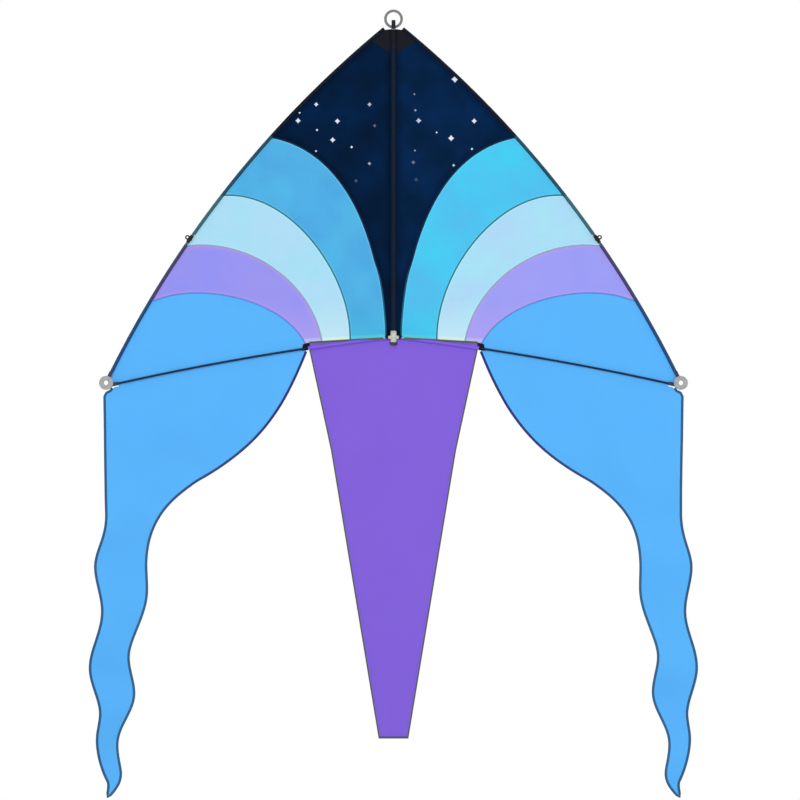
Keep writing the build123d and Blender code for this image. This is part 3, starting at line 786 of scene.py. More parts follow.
def ramp(tree, value, start, end, first=0.0, last=1.0):
    """First at start, last at end, and even steps between."""
    return add_node(tree, "ShaderNodeMapRange", {0: value, 1: start, 2: end, 3: first, 4: last}).outputs[0]


def mix_colours(tree, share, first, second, blend="MIX"):
    mixed = add_node(tree, "ShaderNodeMix", data_type="RGBA", blend_type=blend)
    for socket, value in zip((mixed.inputs[0], mixed.inputs[6], mixed.inputs[7]), (share, first, second)):
        feed(socket, value)
    return mixed.outputs[2]


def near_rim(tree, reach):
    """One at the cut edge, fading to zero by reach."""
    rim = add_node(tree, "ShaderNodeAttribute", attribute_name="rim").outputs["Fac"]
    return add_node(tree, "ShaderNodeMapRange", {0: rim, 1: 0.0, 2: reach, 3: 1.0, 4: 0.0},
            interpolation_type="SMOOTHSTEP").outputs[0]


def sailcloth(name, main, other, size=0.12, contrast=2.0, edge=None, edge_share=0.5, edge_reach=5 * MM,
        hem=None, stars=None, specular=0.24, foot=None):
    """Ripstop in two close tones. An edge tone runs along the seams, and a hem tone rises from the hem.
    On azure and pale the edge tone is lighter: a painted highlight along the seams, with a cyan tint.

    A foot tone, a lighter copy of the band's colour, is a painted highlight on the rod's channel just above
    the header's facing, which covers what lies lower."""
    material, tree = new_material(name)
    cut = add_node(tree, "ShaderNodeUVMap", uv_map="cut").outputs[0]
    weave = use_group(tree, ripstop_weave, {"Vector": cut})
    mottle = use_group(tree, slow_mottling, {"Vector": cut, "Size": size, "Contrast": contrast})
    axes = add_node(tree, "ShaderNodeSeparateXYZ", {0: cut}).outputs
    tone = mix_colours(tree, mottle.outputs[0], main, other)
    if hem is not None:
        tone = mix_colours(tree, ramp(tree, axes["Y"], -0.80, -0.68, 0.7, 0.0), tone, hem)
    # The edge tone: on azure and pale a painted highlight along the seams, on navy darker, on lavender
    # pinker.
    if edge is not None:
        share = math_node(tree, "MULTIPLY", near_rim(tree, edge_reach), edge_share)
        tone = mix_colours(tree, share, tone, edge)
    if stars is not None:
        star = use_group(tree, star_scatter, {"Vector": cut, "Shift": stars}).outputs[0]
        sown = math_node(tree, "MULTIPLY", ramp(tree, axes["Y"], -0.40, -0.34),
                ramp(tree, axes["X"], 0.04, 0.07))
        star = math_node(tree, "MULTIPLY", star, sown)
        tone = mix_colours(tree, star, tone, colour(232, 240, 255))
    # The foot tone is a painted highlight on the rod's channel, above the facing's edge.
    if foot is not None:
        facing = use_group(tree, hem_facing, {"Vector": cut})
        tone = mix_colours(tree, ramp(tree, facing.outputs["Height"], 7 * MM, 12 * MM, 0.8, 0.0), tone, foot)
        tone = mix_colours(tree, facing.outputs["Facing"], tone, PURPLE)
    threads = math_node(tree, "MULTIPLY", weave.outputs["Lattice"], 0.07)
    tone = mix_colours(tree, threads, tone, (0, 0, 0, 1))
    smooth = math_node(tree, "MULTIPLY", weave.outputs["Lattice"], 0.1)
    coat(tree,
            {"Base Color": tone, "Roughness": math_node(tree, "SUBTRACT", 0.62, smooth),
            "Specular IOR Level": specular, "Normal": relief(tree, weave.outputs["Height"], 0.5, 0.06 * MM)})
    return material


PURPLE = colour(131, 95, 222)
# Painted highlights on the spreader's channel: lighter copies of the bands' colours.
CHANNEL_HIGHLIGHTS = {"azure": colour(96, 214, 232), "pale": colour(226, 246, 236), "lavender": colour(194, 198, 242)}
NAVY_EDGE = 22 * MM
# Each band has a left and a right copy. For navy, azure and lavender the left copies are darker and the right
# ones lighter: painted shade on the left half and painted light on the right.
# Two close tones, the mottling's size and contrast, the edge's tone, share and reach, and the hem's tone.
# The edge tones of azure and pale are lighter than their cloth: painted highlights along the seams.
BAND_CLOTHS = {
    "azure_left": ((72, 166, 228), (78, 186, 234), 0.11, 2.4, (112, 216, 246), 0.8, 6 * MM, (58, 190, 224)),
    "azure_right": ((78, 190, 240), (62, 208, 246), 0.13, 2.8, (100, 220, 248), 0.8, 6 * MM, (56, 196, 238)),
    "pale_left": ((166, 226, 246), (180, 224, 250), 0.08, 2.2, (186, 248, 254), 0.8, 6 * MM, (208, 240, 246)),
    "pale_right": ((168, 230, 248), (176, 218, 250), 0.08, 2.2, (186, 248, 254), 0.8, 6 * MM,
                   (208, 240, 246)),
    "lavender_left": ((146, 147, 246), (158, 150, 242), 0.10, 2.2, (196, 150, 238), 0.6, 10 * MM,
                      (184, 164, 242)),
    "lavender_right": ((154, 156, 248), (162, 160, 248), 0.10, 2.2, (196, 156, 238), 0.55, 10 * MM,
                       (184, 164, 242)),
}
# The left navy is darker than the right: painted shade on the left half, painted light on the right.
sails = {
    "navy_left": sailcloth("navy_cloth_left", colour(0, 22, 46), colour(1, 34, 73), 0.09, 2.2,
                           colour(0, 8, 26), 0.5, NAVY_EDGE, stars=0.37, specular=0.03),
    "navy_right": sailcloth("navy_cloth_right", colour(0, 27, 55), colour(3, 40, 84), 0.09, 2.2,
                            colour(0, 12, 36), 0.4, NAVY_EDGE, stars=0.83, specular=0.03),
    "keel": sailcloth("navy_cloth_keel", colour(0, 24, 50), colour(2, 37, 78), 0.09, 2.2, specular=0.05),
}
for name, (main, other, size, contrast, edge, share, reach, hem) in BAND_CLOTHS.items():
    band, side = name.split("_")
    sails[name] = sailcloth(f"{band}_cloth_{side}", colour(*main), colour(*other), size, contrast,
            colour(*edge), share, reach, colour(*hem), foot=CHANNEL_HIGHLIGHTS[band])
sails["blue"] = sailcloth("blue_cloth", colour(87, 184, 255), colour(85, 180, 255), 0.16, 1.2)
sails["purple"] = sailcloth("purple_cloth", colour(132, 97, 223), colour(129, 93, 220), 0.2, 1.2)
print("sailcloths:", ", ".join(sails))

# %% [markdown]
# Each wing is five coloured panels edge to edge, a doubled corner at the nose, and a streamer that swings
# under the spreader rod. The left wing is made in the right wing's place with its own folds, and then
# mirrored. The azure, pale, lavender and blue panels follow the wing's body; the navy panel and the streamer
# stay where they are laid.


def declare(loops):
    """Works out the flat size that the pattern is cut from and its area less the holes, and keeps neither."""
    (width, length), area = flat_size(loops)
    area -= sum(flat_size([hole])[1] for hole in loops[1:])


def bend_at_spine(piece):
    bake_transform(piece)


def bend_at_streamer(piece):
    start = wing_to_kite(*hinge_start, SAIL_HEIGHT)
    end = wing_to_kite(*(hinge_start + hinge_across * 13 * MM), SAIL_HEIGHT)
    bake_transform(piece)


def bend_at_hem(piece):
    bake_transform(piece)


def bend_at_tail(piece):
    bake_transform(piece)


BANDS = ("navy", "azure", "pale", "lavender", "blue")
SPINE_COLUMNS = (6.5, 9, 11.5, 14, 16.5, 19)
z_rows = np.arange(-0.772, -0.06, SPACING)
spine_columns = np.array([(u * MM, z) for u in SPINE_COLUMNS for z in z_rows])
sheets, trims = {}, {}
for side in SIDES:
    surface = wing_cloth[side]
    for band in BANDS:
        cloth = sails.get(band + "_" + side) or sails[band]
        extra = spine_columns if band == "navy" else None
        sheets[side, band] = cut_sheet(side + "_" + band + "_sheet", patterns[band], surface, cloth, side,
                extra=extra)
        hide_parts(side + "_panel_" + band)
    sheets[side, "streamer"] = cut_sheet(side + "_streamer_sheet", patterns["streamer"], surface,
            sails["blue"], side)
    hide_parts(side + "_streamer")
    bend_at_spine(sheets[side, "navy"])
    bend_at_streamer(sheets[side, "streamer"])
    for band in BANDS[1:]:
        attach(sheets[side, band], side + "_wing")

# %% The tail's sheets and the keel
for side in SIDES:
    sheets[side, "header"] = cut_sheet(side + "_header_sheet", patterns["header"], tail_half[side],
            sails["purple"], side)
    bend_at_hem(sheets[side, "header"])
    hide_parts("tail_header")

# The hub's patch runs on as a strip down the header's middle, which shows where the halves part.
HUB_PATCH = np.array([(0, -780.6), (12.5, -780.6), (12.5, -803.5), (5, -809), (5, -1040), (0, -1040)]) * MM
hub_pattern = [smoothed(HUB_PATCH, 2 * MM)]
for side in SIDES:
    patch = cut_sheet(side + "_hub_patch", hub_pattern, hub_cloth[side], sails["purple"], side, 0.6 * MM,
            1.6 * MM)
    trims[side, "hub_patch"] = patch
    bend_at_spine(patch)
    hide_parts("tail_header")
sheets["tail"] = cut_sheet("centre_tail_sheet", patterns["tail"], tail_cloth, sails["purple"])
bend_at_tail(sheets["tail"])
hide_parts("centre_tail")
sheets["keel"] = cut_sheet("keel_sheet", patterns["keel"], keel_cloth, sails["keel"], spacing=5.5 * MM)
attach(sheets["keel"], "keel")
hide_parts("keel_panel")

# %% [markdown]
# Tapes, hems, rod sleeves and seams are all one idea: a narrow profile carried along a line on the cloth.
# Geometry Nodes does this well. The line is a path of points that know their upright, and the profile is
# a small closed ring. Stitches follow the same lines: one low-polygon grain of thread, repeated at the
# machine's pitch and never twice at quite the same angle.

# %% Geometry Nodes: a profile along a path, and rows of stitches
def node_group(name, inputs):
    group = bpy.data.node_groups.new(name, "GeometryNodeTree")
    kinds = {"geometry": "NodeSocketGeometry", "object": "NodeSocketObject",
            "material": "NodeSocketMaterial", "value": "NodeSocketFloat", "whole": "NodeSocketInt"}
    for socket, kind in inputs:
        group.interface.new_socket(socket, in_out="INPUT", socket_type=kinds[kind])
    group.interface.new_socket("Geometry", in_out="OUTPUT", socket_type=kinds["geometry"])
    return group, group.nodes.new("NodeGroupInput").outputs, group.nodes.new("NodeGroupOutput").inputs


def path_curve(group, given):
    """The path mesh as a curve whose normal is the cloth's upright."""
    curve = add_node(group, "GeometryNodeMeshToCurve", {"Mesh": given["Geometry"]})
    up = add_node(group, "GeometryNodeInputNamedAttribute", {"Name": "up"}, data_type="FLOAT_VECTOR")
    turned = add_node(group, "GeometryNodeSetCurveNormal", {"Curve": curve.outputs[0]}, mode="FREE")
    feed(turned.inputs["Normal"], up.outputs["Attribute"])
    return turned.outputs[0]


def finish_group(group, given, made, geometry_out):
    real = add_node(group, "GeometryNodeRealizeInstances", {"Geometry": geometry_out})
    coated = add_node(group, "GeometryNodeSetMaterial",
            {"Geometry": real.outputs[0], "Material": given["Material"]})
    feed(made[0], coated.outputs[0])


def tape_group():
    inputs = [("Geometry", "geometry"), ("Profile", "object"), ("Material", "material"), ("Ruffle", "value"),
            ("Ruffle Size", "value")]
    group, given, made = node_group("tape_along_path", inputs)
    shape = add_node(group, "GeometryNodeObjectInfo", {"Object": given["Profile"]})
    ring = add_node(group, "GeometryNodeMeshToCurve", {"Mesh": shape.outputs["Geometry"]})
    solid = add_node(group, "GeometryNodeCurveToMesh",
            {"Curve": path_curve(group, given), "Profile Curve": ring.outputs[0], "Fill Caps": True})
    scale = math_node(group, "DIVIDE", 1.0, given["Ruffle Size"])
    noise = add_node(group, "ShaderNodeTexNoise", {"W": 0.0, "Scale": scale, "Detail": 1.0},
            noise_dimensions="4D")
    centred = math_node(group, "SUBTRACT", noise.outputs[0], 0.5)
    size = math_node(group, "MULTIPLY", centred, given["Ruffle"])
    upright = add_node(group, "GeometryNodeInputNormal")
    offset = add_node(group, "ShaderNodeVectorMath", {0: upright.outputs[0]}, operation="SCALE")
    feed(offset.inputs["Scale"], size)
    moved = add_node(group, "GeometryNodeSetPosition",
            {"Geometry": solid.outputs[0], "Offset": offset.outputs[0]})
    finish_group(group, given, made, moved.outputs[0])
    return group


def stitch_group():
    inputs = [("Geometry", "geometry"), ("Material", "material"), ("Pitch", "value"), ("Length", "value"),
            ("Width", "value"), ("Height", "value"), ("Seed", "whole")]
    group, given, made = node_group("stitch_rows", inputs)
    spaced = add_node(group, "GeometryNodeResampleCurve", {"Curve": path_curve(group, given)}, mode="LENGTH")
    feed(spaced.inputs["Length"], given["Pitch"])
    stray = add_node(group, "FunctionNodeRandomValue", {"Seed": given["Seed"]}, data_type="FLOAT_VECTOR")
    stray.inputs["Min"].default_value, stray.inputs["Max"].default_value = (-0.13,) * 3, (0.13,) * 3
    tangent = add_node(group, "GeometryNodeInputTangent")
    way = vector_math(group, "ADD", tangent.outputs[0], stray.outputs["Value"])
    along = add_node(group, "FunctionNodeAlignRotationToVector", {"Vector": way}, axis="X")
    upright = add_node(group, "GeometryNodeInputNormal")
    turned = add_node(group, "FunctionNodeAlignRotationToVector",
            {"Rotation": along.outputs[0], "Vector": upright.outputs[0]}, axis="Z", pivot_axis="X")
    grain = add_node(group, "GeometryNodeMeshUVSphere", {"Segments": 6, "Rings": 4, "Radius": 0.5})
    smooth = add_node(group, "GeometryNodeSetShadeSmooth", {"Geometry": grain.outputs[0]})
    size = add_node(group, "ShaderNodeCombineXYZ",
            {0: given["Length"], 1: given["Width"], 2: given["Height"]})
    vary = add_node(group, "FunctionNodeRandomValue", {"Seed": given["Seed"]}, data_type="FLOAT")
    for name, value in (("Min_001", 0.86), ("Max_001", 1.08)):
        feed(next(socket for socket in vary.inputs if socket.identifier == name), value)
    sized = add_node(group, "ShaderNodeVectorMath", {0: size.outputs[0]}, operation="SCALE")
    feed(sized.inputs["Scale"], next(socket for socket in vary.outputs if socket.identifier == "Value_001"))
    rows = add_node(group, "GeometryNodeInstanceOnPoints",
            {"Points": spaced.outputs[0], "Instance": smooth.outputs[0], "Rotation": turned.outputs[0],
            "Scale": sized.outputs[0]})
    finish_group(group, given, made, rows.outputs[0])
    return group


tape_along_path, stitch_rows = tape_group(), stitch_group()
STITCH_PITCH, STITCH_WIDTH = 3.4 * MM, 0.62 * MM


def wire(name, runs, closed=False):
    """An object of edges. Each run is its points and their uprights, and may bring tones as well."""
    points, edges, ups, tones = [], [], [], []
    for run in runs:
        places, uprights = run[0], run[1]
        first, count = len(points), len(places)
        edges += [(first + number, first + number + 1) for number in range(count - 1)]
        edges += [(first + count - 1, first)] if closed else []
        points.extend(places)
        ups.extend(uprights)
        tones.extend(run[2] if len(run) > 2 else [(1, 1, 1, 1)] * count)
    mesh = bpy.data.meshes.new(name)
    mesh.from_pydata(points, edges, [])
    mesh.attributes.new("up", "FLOAT_VECTOR", "POINT").data.foreach_set("vector",
            np.array(ups, float).ravel())
    mesh.attributes.new("tone", "FLOAT_COLOR", "POINT").data.foreach_set("color",
            np.array(tones, float).ravel())
    made = bpy.data.objects.new(name, mesh)
    bpy.context.collection.objects.link(made)
    return made


def grown(name, runs, group, settings, side):
    """The runs dressed by one Geometry Nodes group, as a plain mesh."""
    worker = wire(name + "_path", runs)
    modifier = worker.modifiers.new(group.name, "NODES")
    modifier.node_group = group
    for item in group.interface.items_tree:
        if item.in_out == "INPUT" and item.name in settings:
            modifier[item.identifier] = settings[item.name]
    piece = plain_mesh(worker, name)
    return mirrored(piece) if side == "left" else piece


def tape(name, runs, profile, material, side="right", ruffle=0.0, size=12 * MM):
    """A closed profile carried along the runs. Profile points are (lift, out) in millimetres."""
    corners = [(x * MM, y * MM, 0) for x, y in profile]
    ring = wire(name + "_profile", [(corners, [(0, 0, 1)] * len(corners))], closed=True)
    settings = {"Profile": ring, "Material": material, "Ruffle": ruffle, "Ruffle Size": size}
    piece = grown(name, runs, tape_along_path, settings, side)
    bpy.data.objects.remove(ring)
    return piece


def stitches(name, runs, material, side="right", height=1.2 * MM):
    """Rows of thread along the runs, proud of the cloth on both faces."""
    settings = {"Material": material, "Pitch": STITCH_PITCH, "Length": 0.74 * STITCH_PITCH,
            "Width": STITCH_WIDTH, "Height": height, "Seed": 1}
    piece = grown(name, runs, stitch_rows, settings, side)
    print(name, len(piece.data.polygons) // 24, "stitches")
    return piece


def shifted(flat, out):
    """An open flat line moved to its left by out."""
    way = np.gradient(flat, axis=0)
    way /= np.linalg.norm(way, axis=1)[:, None]
    return flat + out * np.stack([-way[:, 1], way[:, 0]], -1)


def run_on(surface, flat, out=0.0, off=0.0):
    """A line on the cloth: its points and its uprights."""
    flat = shifted(flat, out) if out else flat
    return surface.place(flat, off), up_from(surface, flat)


def evenly(flat, step):
    """The line's points, an even step apart."""
    reach = np.concatenate([[0], np.cumsum(np.hypot(*np.diff(flat, axis=0).T))])
    marks = np.linspace(0, reach[-1], max(2, round(reach[-1] / step) + 1))
    return np.stack([np.interp(marks, reach, flat[:, axis]) for axis in (0, 1)], -1)


def straight(start, end):
    """A straight line on the flat cloth."""
    return evenly(np.array([start, end]), 6 * MM)


def run_length(line):
    return round(float(np.hypot(*np.diff(line, axis=0).T).sum()), 3)


def rounded(half_width, half_thick, middle=0.0):
    """A thin strip's cross-section, with its edges eased."""
    wide, ease = half_width, min(half_thick, 0.5)
    return [(half_thick, middle - wide + ease), (half_thick, middle + wide - ease),
            (half_thick / 3, middle + wide), (-half_thick / 3, middle + wide),
            (-half_thick, middle + wide - ease), (-half_thick, middle - wide + ease),
            (-half_thick / 3, middle - wide), (half_thick / 3, middle - wide)]


# %% [markdown]
# Tapes and threads are plain weaves too, but coarse and matt. A diagonal twill in object space keeps the
# tapes from looking like plastic strips. Threads only need a soft, slightly glossy finish.

# %% Tape and thread finishes
def twill_group():
    inputs = [("Pitch", "value", 0.9 * MM)]
    group, given, made = shader_group("twill", inputs, [("Height", "value")])
    place = add_node(group, "ShaderNodeTexCoord").outputs["Object"]
    axes = add_node(group, "ShaderNodeSeparateXYZ", {0: place})
    slant = math_node(group, "ADD", axes.outputs["X"], axes.outputs["Z"])
    turn = math_node(group, "MULTIPLY", math_node(group, "DIVIDE", slant, given["Pitch"]), 2 * math.pi)
    feed(made["Height"], math_node(group, "SINE", turn))
    return group


twill = twill_group()


def tape_cloth(name, main=None, faced=False):
    """Woven tape. Without a main colour it takes the path's own tones.

    Where it is faced, the header's purple cloth covers it below the facing's edge."""
    material, tree = new_material(name)
    weave = use_group(tree, twill, {})
    place = add_node(tree, "ShaderNodeTexCoord").outputs["Object"]
    fade = add_node(tree, "ShaderNodeTexNoise", {"Vector": place, "Scale": 90.0})
    base = main or add_node(tree, "ShaderNodeAttribute", attribute_name="tone").outputs["Color"]
    if faced:
        axes = add_node(tree, "ShaderNodeSeparateXYZ", {0: place})
        flat = add_node(tree, "ShaderNodeCombineXYZ", {0: axes.outputs["X"], 1: axes.outputs["Z"]})
        facing = use_group(tree, hem_facing, {"Vector": flat.outputs[0]})
        base = mix_colours(tree, facing.outputs["Facing"], base, PURPLE)
    worn = mix_colours(tree, math_node(tree, "MULTIPLY", fade.outputs[0], 0.16), base, (0.9, 0.92, 0.95, 1),
            "OVERLAY")
    coat(tree,
            {"Base Color": worn, "Roughness": 0.78, "Specular IOR Level": 0.2,
            "Normal": relief(tree, weave.outputs["Height"], 0.4, 0.08 * MM)})
    return material


def thread(name, main):
    material, tree = new_material(name)
    coat(tree, {"Base Color": main, "Roughness": 0.5})
    return material


# The tones named after the bands colour the hem's channel. Azure, pale and lavender are lighter copies of the
# bands' cloth: a painted highlight on the tube.
TONES = {
    "navy": (8, 36, 68), "azure": (95, 216, 236), "pale": (226, 246, 240), "lavender": (190, 186, 244),
    "azure_seam": (8, 36, 72), "azure_seam_foot": (24, 92, 122), "pale_seam": (50, 120, 140),
    "lavender_seam": (150, 165, 200), "blue_seam": (92, 140, 226),
    "navy_edge": (2, 12, 34), "azure_edge": (26, 76, 98), "pale_edge": (54, 102, 116),
    "lavender_edge": (64, 66, 106), "blue_edge": (34, 72, 118),
    "inner_top": (44, 48, 112), "inner_foot": (52, 96, 134), "outer": (46, 90, 132),
}
TONES = {name: colour(*tone) for name, tone in TONES.items()}
toned_tape = tape_cloth("toned_tape")
hem_cloth = tape_cloth("hem_cloth", faced=True)
black_tape = tape_cloth("black_tape", colour(4, 8, 18))
navy_tape = tape_cloth("navy_tape", colour(0, 18, 40))
olive_tape = tape_cloth("olive_tape", colour(80, 92, 58))
foot_tape = tape_cloth("foot_tape", colour(84, 84, 92))
THREADS = {"black": (26, 30, 38), "navy": (22, 44, 74), "olive": (120, 128, 84), "violet": (116, 88, 200)}
threads = {name: thread(name + "_thread", colour(*tone)) for name, tone in THREADS.items()}
print("tapes and threads:", ", ".join(threads))

# %% [markdown]
# The wings are sewn in the order a maker would: the panels to each other, the edge folded round the
# leading rod, the hem folded round the spreader, then the streamer's binding. The rod sleeves leave a
# window where the connector is clipped on.

# %% Sew the wings
SEAM_PROFILE = rounded(2.0, 0.6)
SLEEVE_PROFILE = [(0.45, -5.4), (0.45, -1.2), (0.3, 0.7), (-0.5, 2.2), (-1.8, 3.1), (-3.4, 3.45),
        (-5.1, 3.0), (-6.3, 1.8), (-6.8, 0.2), (-6.4, -1.5), (-5.3, -2.8), (-3.4, -3.5), (-1.7, -3.8),
        (-0.6, -4.3), (-0.5, -5.4)]
HEM_PROFILE = [(x, -y) for x, y in reversed(SLEEVE_PROFILE)]
BINDING_PROFILE = rounded(3.2, 0.62, -2.4)


def seam_line(first, second):
    """The line that two neighbouring patterns share."""
    loop = patterns[first][0]
    shared = distance_to(loop, patterns[second]) < 0.6 * MM
    start = np.flatnonzero(shared & ~np.roll(shared, 1))
    longest = max(((int(np.argmin(np.roll(shared, -s))) or len(loop), s) for s in start))
    line = np.roll(loop, -longest[1], 0)[:longest[0]]
    return evenly(line if line[0, 1] > line[-1, 1] else line[::-1], 5 * MM)


def free_edge():
    """The streamer's edge below its fold, from the inner corner round the tip to the outer one."""
    loop = patterns["streamer"][0]
    free = np.abs((loop - hinge_start) @ hinge_across) > 0.1 * MM
    start = int(np.flatnonzero(free & ~np.roll(free, 1))[0])
    line = np.roll(loop, -start, 0)
    line = line[:int(np.argmin(np.roll(free, -start))) or len(loop)]
    return line if line[0, 0] < line[-1, 0] else line[::-1]


def on_rod(bow, start, end, out=0.0, lift=0.0):
    """A line beside a rod, on the flat cloth above it, with uprights."""
    flat = bow.line(start, end, out)
    return wing_to_kite(flat[:, 0], flat[:, 1], SAIL_HEIGHT + lift), np.tile(WINDWARD, (len(flat), 1))


def edge_tones(places):
    """The edge's cloth takes a deep tone of the panel beside it."""
    travels = leading.travel(places[:, 0] / math.cos(DIHEDRAL), places[:, 2])
    return [TONES[BANDS[int(np.searchsorted(BAND_TRAVELS, travel))] + "_edge"] for travel in travels]


FACING_SPAN = (17.5 * MM, 209.5 * MM)
# The front of the rod's channel: its lift, by how far it lies out from the rod.
CHANNEL_OUT = (-0.2, 1.5, 2.8, 3.5, 3.9, 4.6, 5.8)
CHANNEL_LIFT = (-6.8, -6.5, -5.4, -3.8, -2.2, -0.9, -0.5)


def seam_tones(band, line):
    """One tone along a seam, but navy's seam with azure turns teal towards its foot."""
    tone = np.array(TONES[band + "_seam"])
    foot = np.array(TONES.get(band + "_seam_foot", tone))
    share = np.clip((-0.60 - line[:, 1]) / 0.06, 0, 1)
    return [tuple(tone + (foot - tone) * amount) for amount in share]


def facing_edge(off):
    """The facing's top edge, on the rod's channel near the hub and on the flat sail further out."""
    u = np.arange(*FACING_SPAN, 4 * MM)
    flat = np.stack([u, HEM_LEVEL + HEM_SLOPE * u], -1)
    lift = np.interp(spreader.out(*flat.T) / MM, CHANNEL_OUT, CHANNEL_LIFT) if off < 0 else 0.45
    return flat, lift * MM + off


def binding_tones(line, tip):
    """Violet at the inner corner, fading to blue-grey down the streamer and up its outer edge."""
    top, foot, outer = (np.array(TONES[name]) for name in ("inner_top", "inner_foot", "outer"))
    share = np.clip((-0.95 - line[:, 1]) / 0.35, 0, 1)
    return [tuple(outer if number > tip else top + (foot - top) * share[number])
            for number in range(len(line))]


UPPER_ROD, WINDOW = 0.690, 0.016
LOWER_END = leading.length - 0.0195
EDGE_SPANS = ((NOSE_REACH, UPPER_ROD - WINDOW), (UPPER_ROD + WINDOW, LOWER_END))
seam_lines = {band: seam_line(above, band) for above, band in zip(BANDS, BANDS[1:])}
edge_line = free_edge()
inward = edge_line[0] - edge_line[1]
edge_line = np.vstack([edge_line[0] + inward / np.hypot(*inward) * 7 * MM, edge_line])
tip = int(np.argmin(edge_line[:, 1]))
print("seams", [run_length(line) for line in seam_lines.values()], "m, streamer edge", run_length(edge_line),
        "m")
BAND_TRAVELS = [leading.travel(u * MM, z * MM)
        for u, z in ((297, -290), (419, -430), (505, -553), (590, -686))]
hem_ends = [spreader.travel(u, spreader.line(0.1, 0.1001)[0][1])
        for u in (0.017, 0.0195, 0.1055, 0.1735, 0.2125)]
hem_parts = [on_rod(spreader, *ends) for ends in zip(hem_ends, hem_ends[1:])]
# The hem's channel takes the bands' tones, which paint a highlight on the tube.
hem_highlight_tones = [TONES[band] for band, (places, _) in zip(BANDS, hem_parts) for _ in places]
hem_run = (*(np.concatenate(part) for part in zip(*hem_parts)), hem_highlight_tones)
for side in SIDES:
    surface, sewn = wing_cloth[side], {}
    seams = [(*run_on(surface, line), seam_tones(band, line)) for band, line in seam_lines.items()]
    sewn["seams"] = tape(side + "_panel_seams", seams, SEAM_PROFILE, hem_cloth, side)
    rows = [run_on(surface, line, out) for line in seam_lines.values() for out in (-1.25 * MM, 1.25 * MM)]
    sewn["seam_stitches"] = stitches(side + "_seam_stitches", rows, threads["navy"], side, 1.6 * MM)
    for part, ends in zip(("upper", "lower"), EDGE_SPANS):
        places, ups = on_rod(leading, *ends)
        sleeve = tape(f"{side}_{part}_edge_sleeve", [(places, ups, edge_tones(places))], SLEEVE_PROFILE,
                toned_tape, side, 0.5 * MM, 14 * MM)
        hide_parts(f"{side}_leading_sleeve_{part}")
        sewn[part + "_sleeve"] = sleeve
    sewn["hem"] = tape(side + "_hem_channel", [hem_run], HEM_PROFILE, hem_cloth, side, 0.4 * MM, 10 * MM)
    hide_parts(side + "_hem_sleeve")
    rows = [on_rod(leading, *ends, -4.6 * MM) for ends in EDGE_SPANS]
    sewn["edge_stitches"] = stitches(side + "_edge_stitches", rows, threads["black"], side, 1.5 * MM)
    rows = [on_rod(spreader, hem_ends[0], hem_ends[-1], 4.6 * MM)]
    sewn["hem_stitches"] = stitches(side + "_hem_stitches", rows, threads["violet"], side, 1.5 * MM)
    for piece in sewn.values():
        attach(piece, side + "_wing")
    binding_run = (*run_on(surface, edge_line), binding_tones(edge_line, tip))
    binding = tape(side + "_streamer_edge_binding", [binding_run], BINDING_PROFILE, toned_tape, side,
            0.3 * MM)
    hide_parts(side + "_streamer_binding")
    rows = [run_on(surface, edge_line, -4.6 * MM)]
    thread_rows = stitches(side + "_binding_stitches", rows, threads["navy"], side, 1.7 * MM)
    for piece in (binding, thread_rows):
        bend_at_streamer(piece)
    sewn.update(binding=binding, binding_stitches=thread_rows)
    trims.update({(side, kind): piece for kind, piece in sewn.items()})

# %% [markdown]
# The spine's sleeve is one long tube of navy cloth, stitched flat to the sail on both sides. At the nose
# a doubled boot of webbing covers the socket, and black patches strengthen the corner on both faces. The
# tail has turned hems and a pocket for its batten. The keel has a folded tape along its free edges.

# %% Sew the spine, the tail and the keel
SPINE_PROFILE = [(-5.45, 0), (-4.9, -2.4), (-3.2, -4.4), (-1.0, -5.35), (1.2, -5.25), (2.4, -6.3),
        (2.9, -8.4), (4.1, -8.4), (4.5, -4), (4.7, 0), (4.5, 4), (4.1, 8.4), (2.9, 8.4), (2.4, 6.3),
        (1.2, 5.25), (-1.0, 5.35), (-3.2, 4.4), (-4.9, 2.4)]
BOOT_PROFILE = [(lift * 1.16 + 0.1, out * 1.22) for lift, out in SPINE_PROFILE]
POCKET_PROFILE = [(0.45, 3.1), (-0.45, 3.1), (-0.5, 2.2), (-1.5, 1.5), (-2.05, 0), (-1.45, -1.5), (0, -2.05),
        (1.45, -1.5), (2.05, 0), (1.5, 1.5), (0.5, 2.2)]
SLEEVE_TOP, SLEEVE_FOOT = -0.0508, -0.7588
BOOT_TOP, BOOT_FOOT = -0.0262, -0.060


def upright_run(top, foot, out=0.0, off=0.0):
    """A line down the spine."""
    z = np.linspace(top, foot, max(2, round((top - foot) / (6 * MM))))
    places = np.stack([np.full(len(z), out), np.full(len(z), SPINE_Y + off), z], -1)
    return places, np.tile([0.0, 1.0, 0.0], (len(z), 1))


spine_sleeve = tape("spine_cloth_sleeve", [upright_run(SLEEVE_TOP, SLEEVE_FOOT)], SPINE_PROFILE, navy_tape,
        ruffle=0.5 * MM, size=16 * MM)
nose_boot = tape("nose_webbing_boot", [upright_run(BOOT_TOP, BOOT_FOOT)], BOOT_PROFILE, black_tape,
        ruffle=0.3 * MM, size=8 * MM)
rows = [upright_run(SLEEVE_TOP, SLEEVE_FOOT, out * MM, 3.4 * MM) for out in (-7.4, 7.4)]
rows += [upright_run(BOOT_TOP - 2 * MM, BOOT_FOOT + 1 * MM, out * MM, 3.9 * MM) for out in (-9.2, 9.2)]
spine_stitches = stitches("spine_stitches", rows, threads["navy"], height=2.0 * MM)
for piece in (spine_sleeve, nose_boot, spine_stitches):
    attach(piece, "spine")
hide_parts("spine_sleeve")


def sew_piece(side, kind, piece, node=None):
    """Keeps a trim in the trims table, and hides the CAD node that it stands for."""
    trims[side, kind] = piece
    if node:
        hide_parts(node)
    return piece


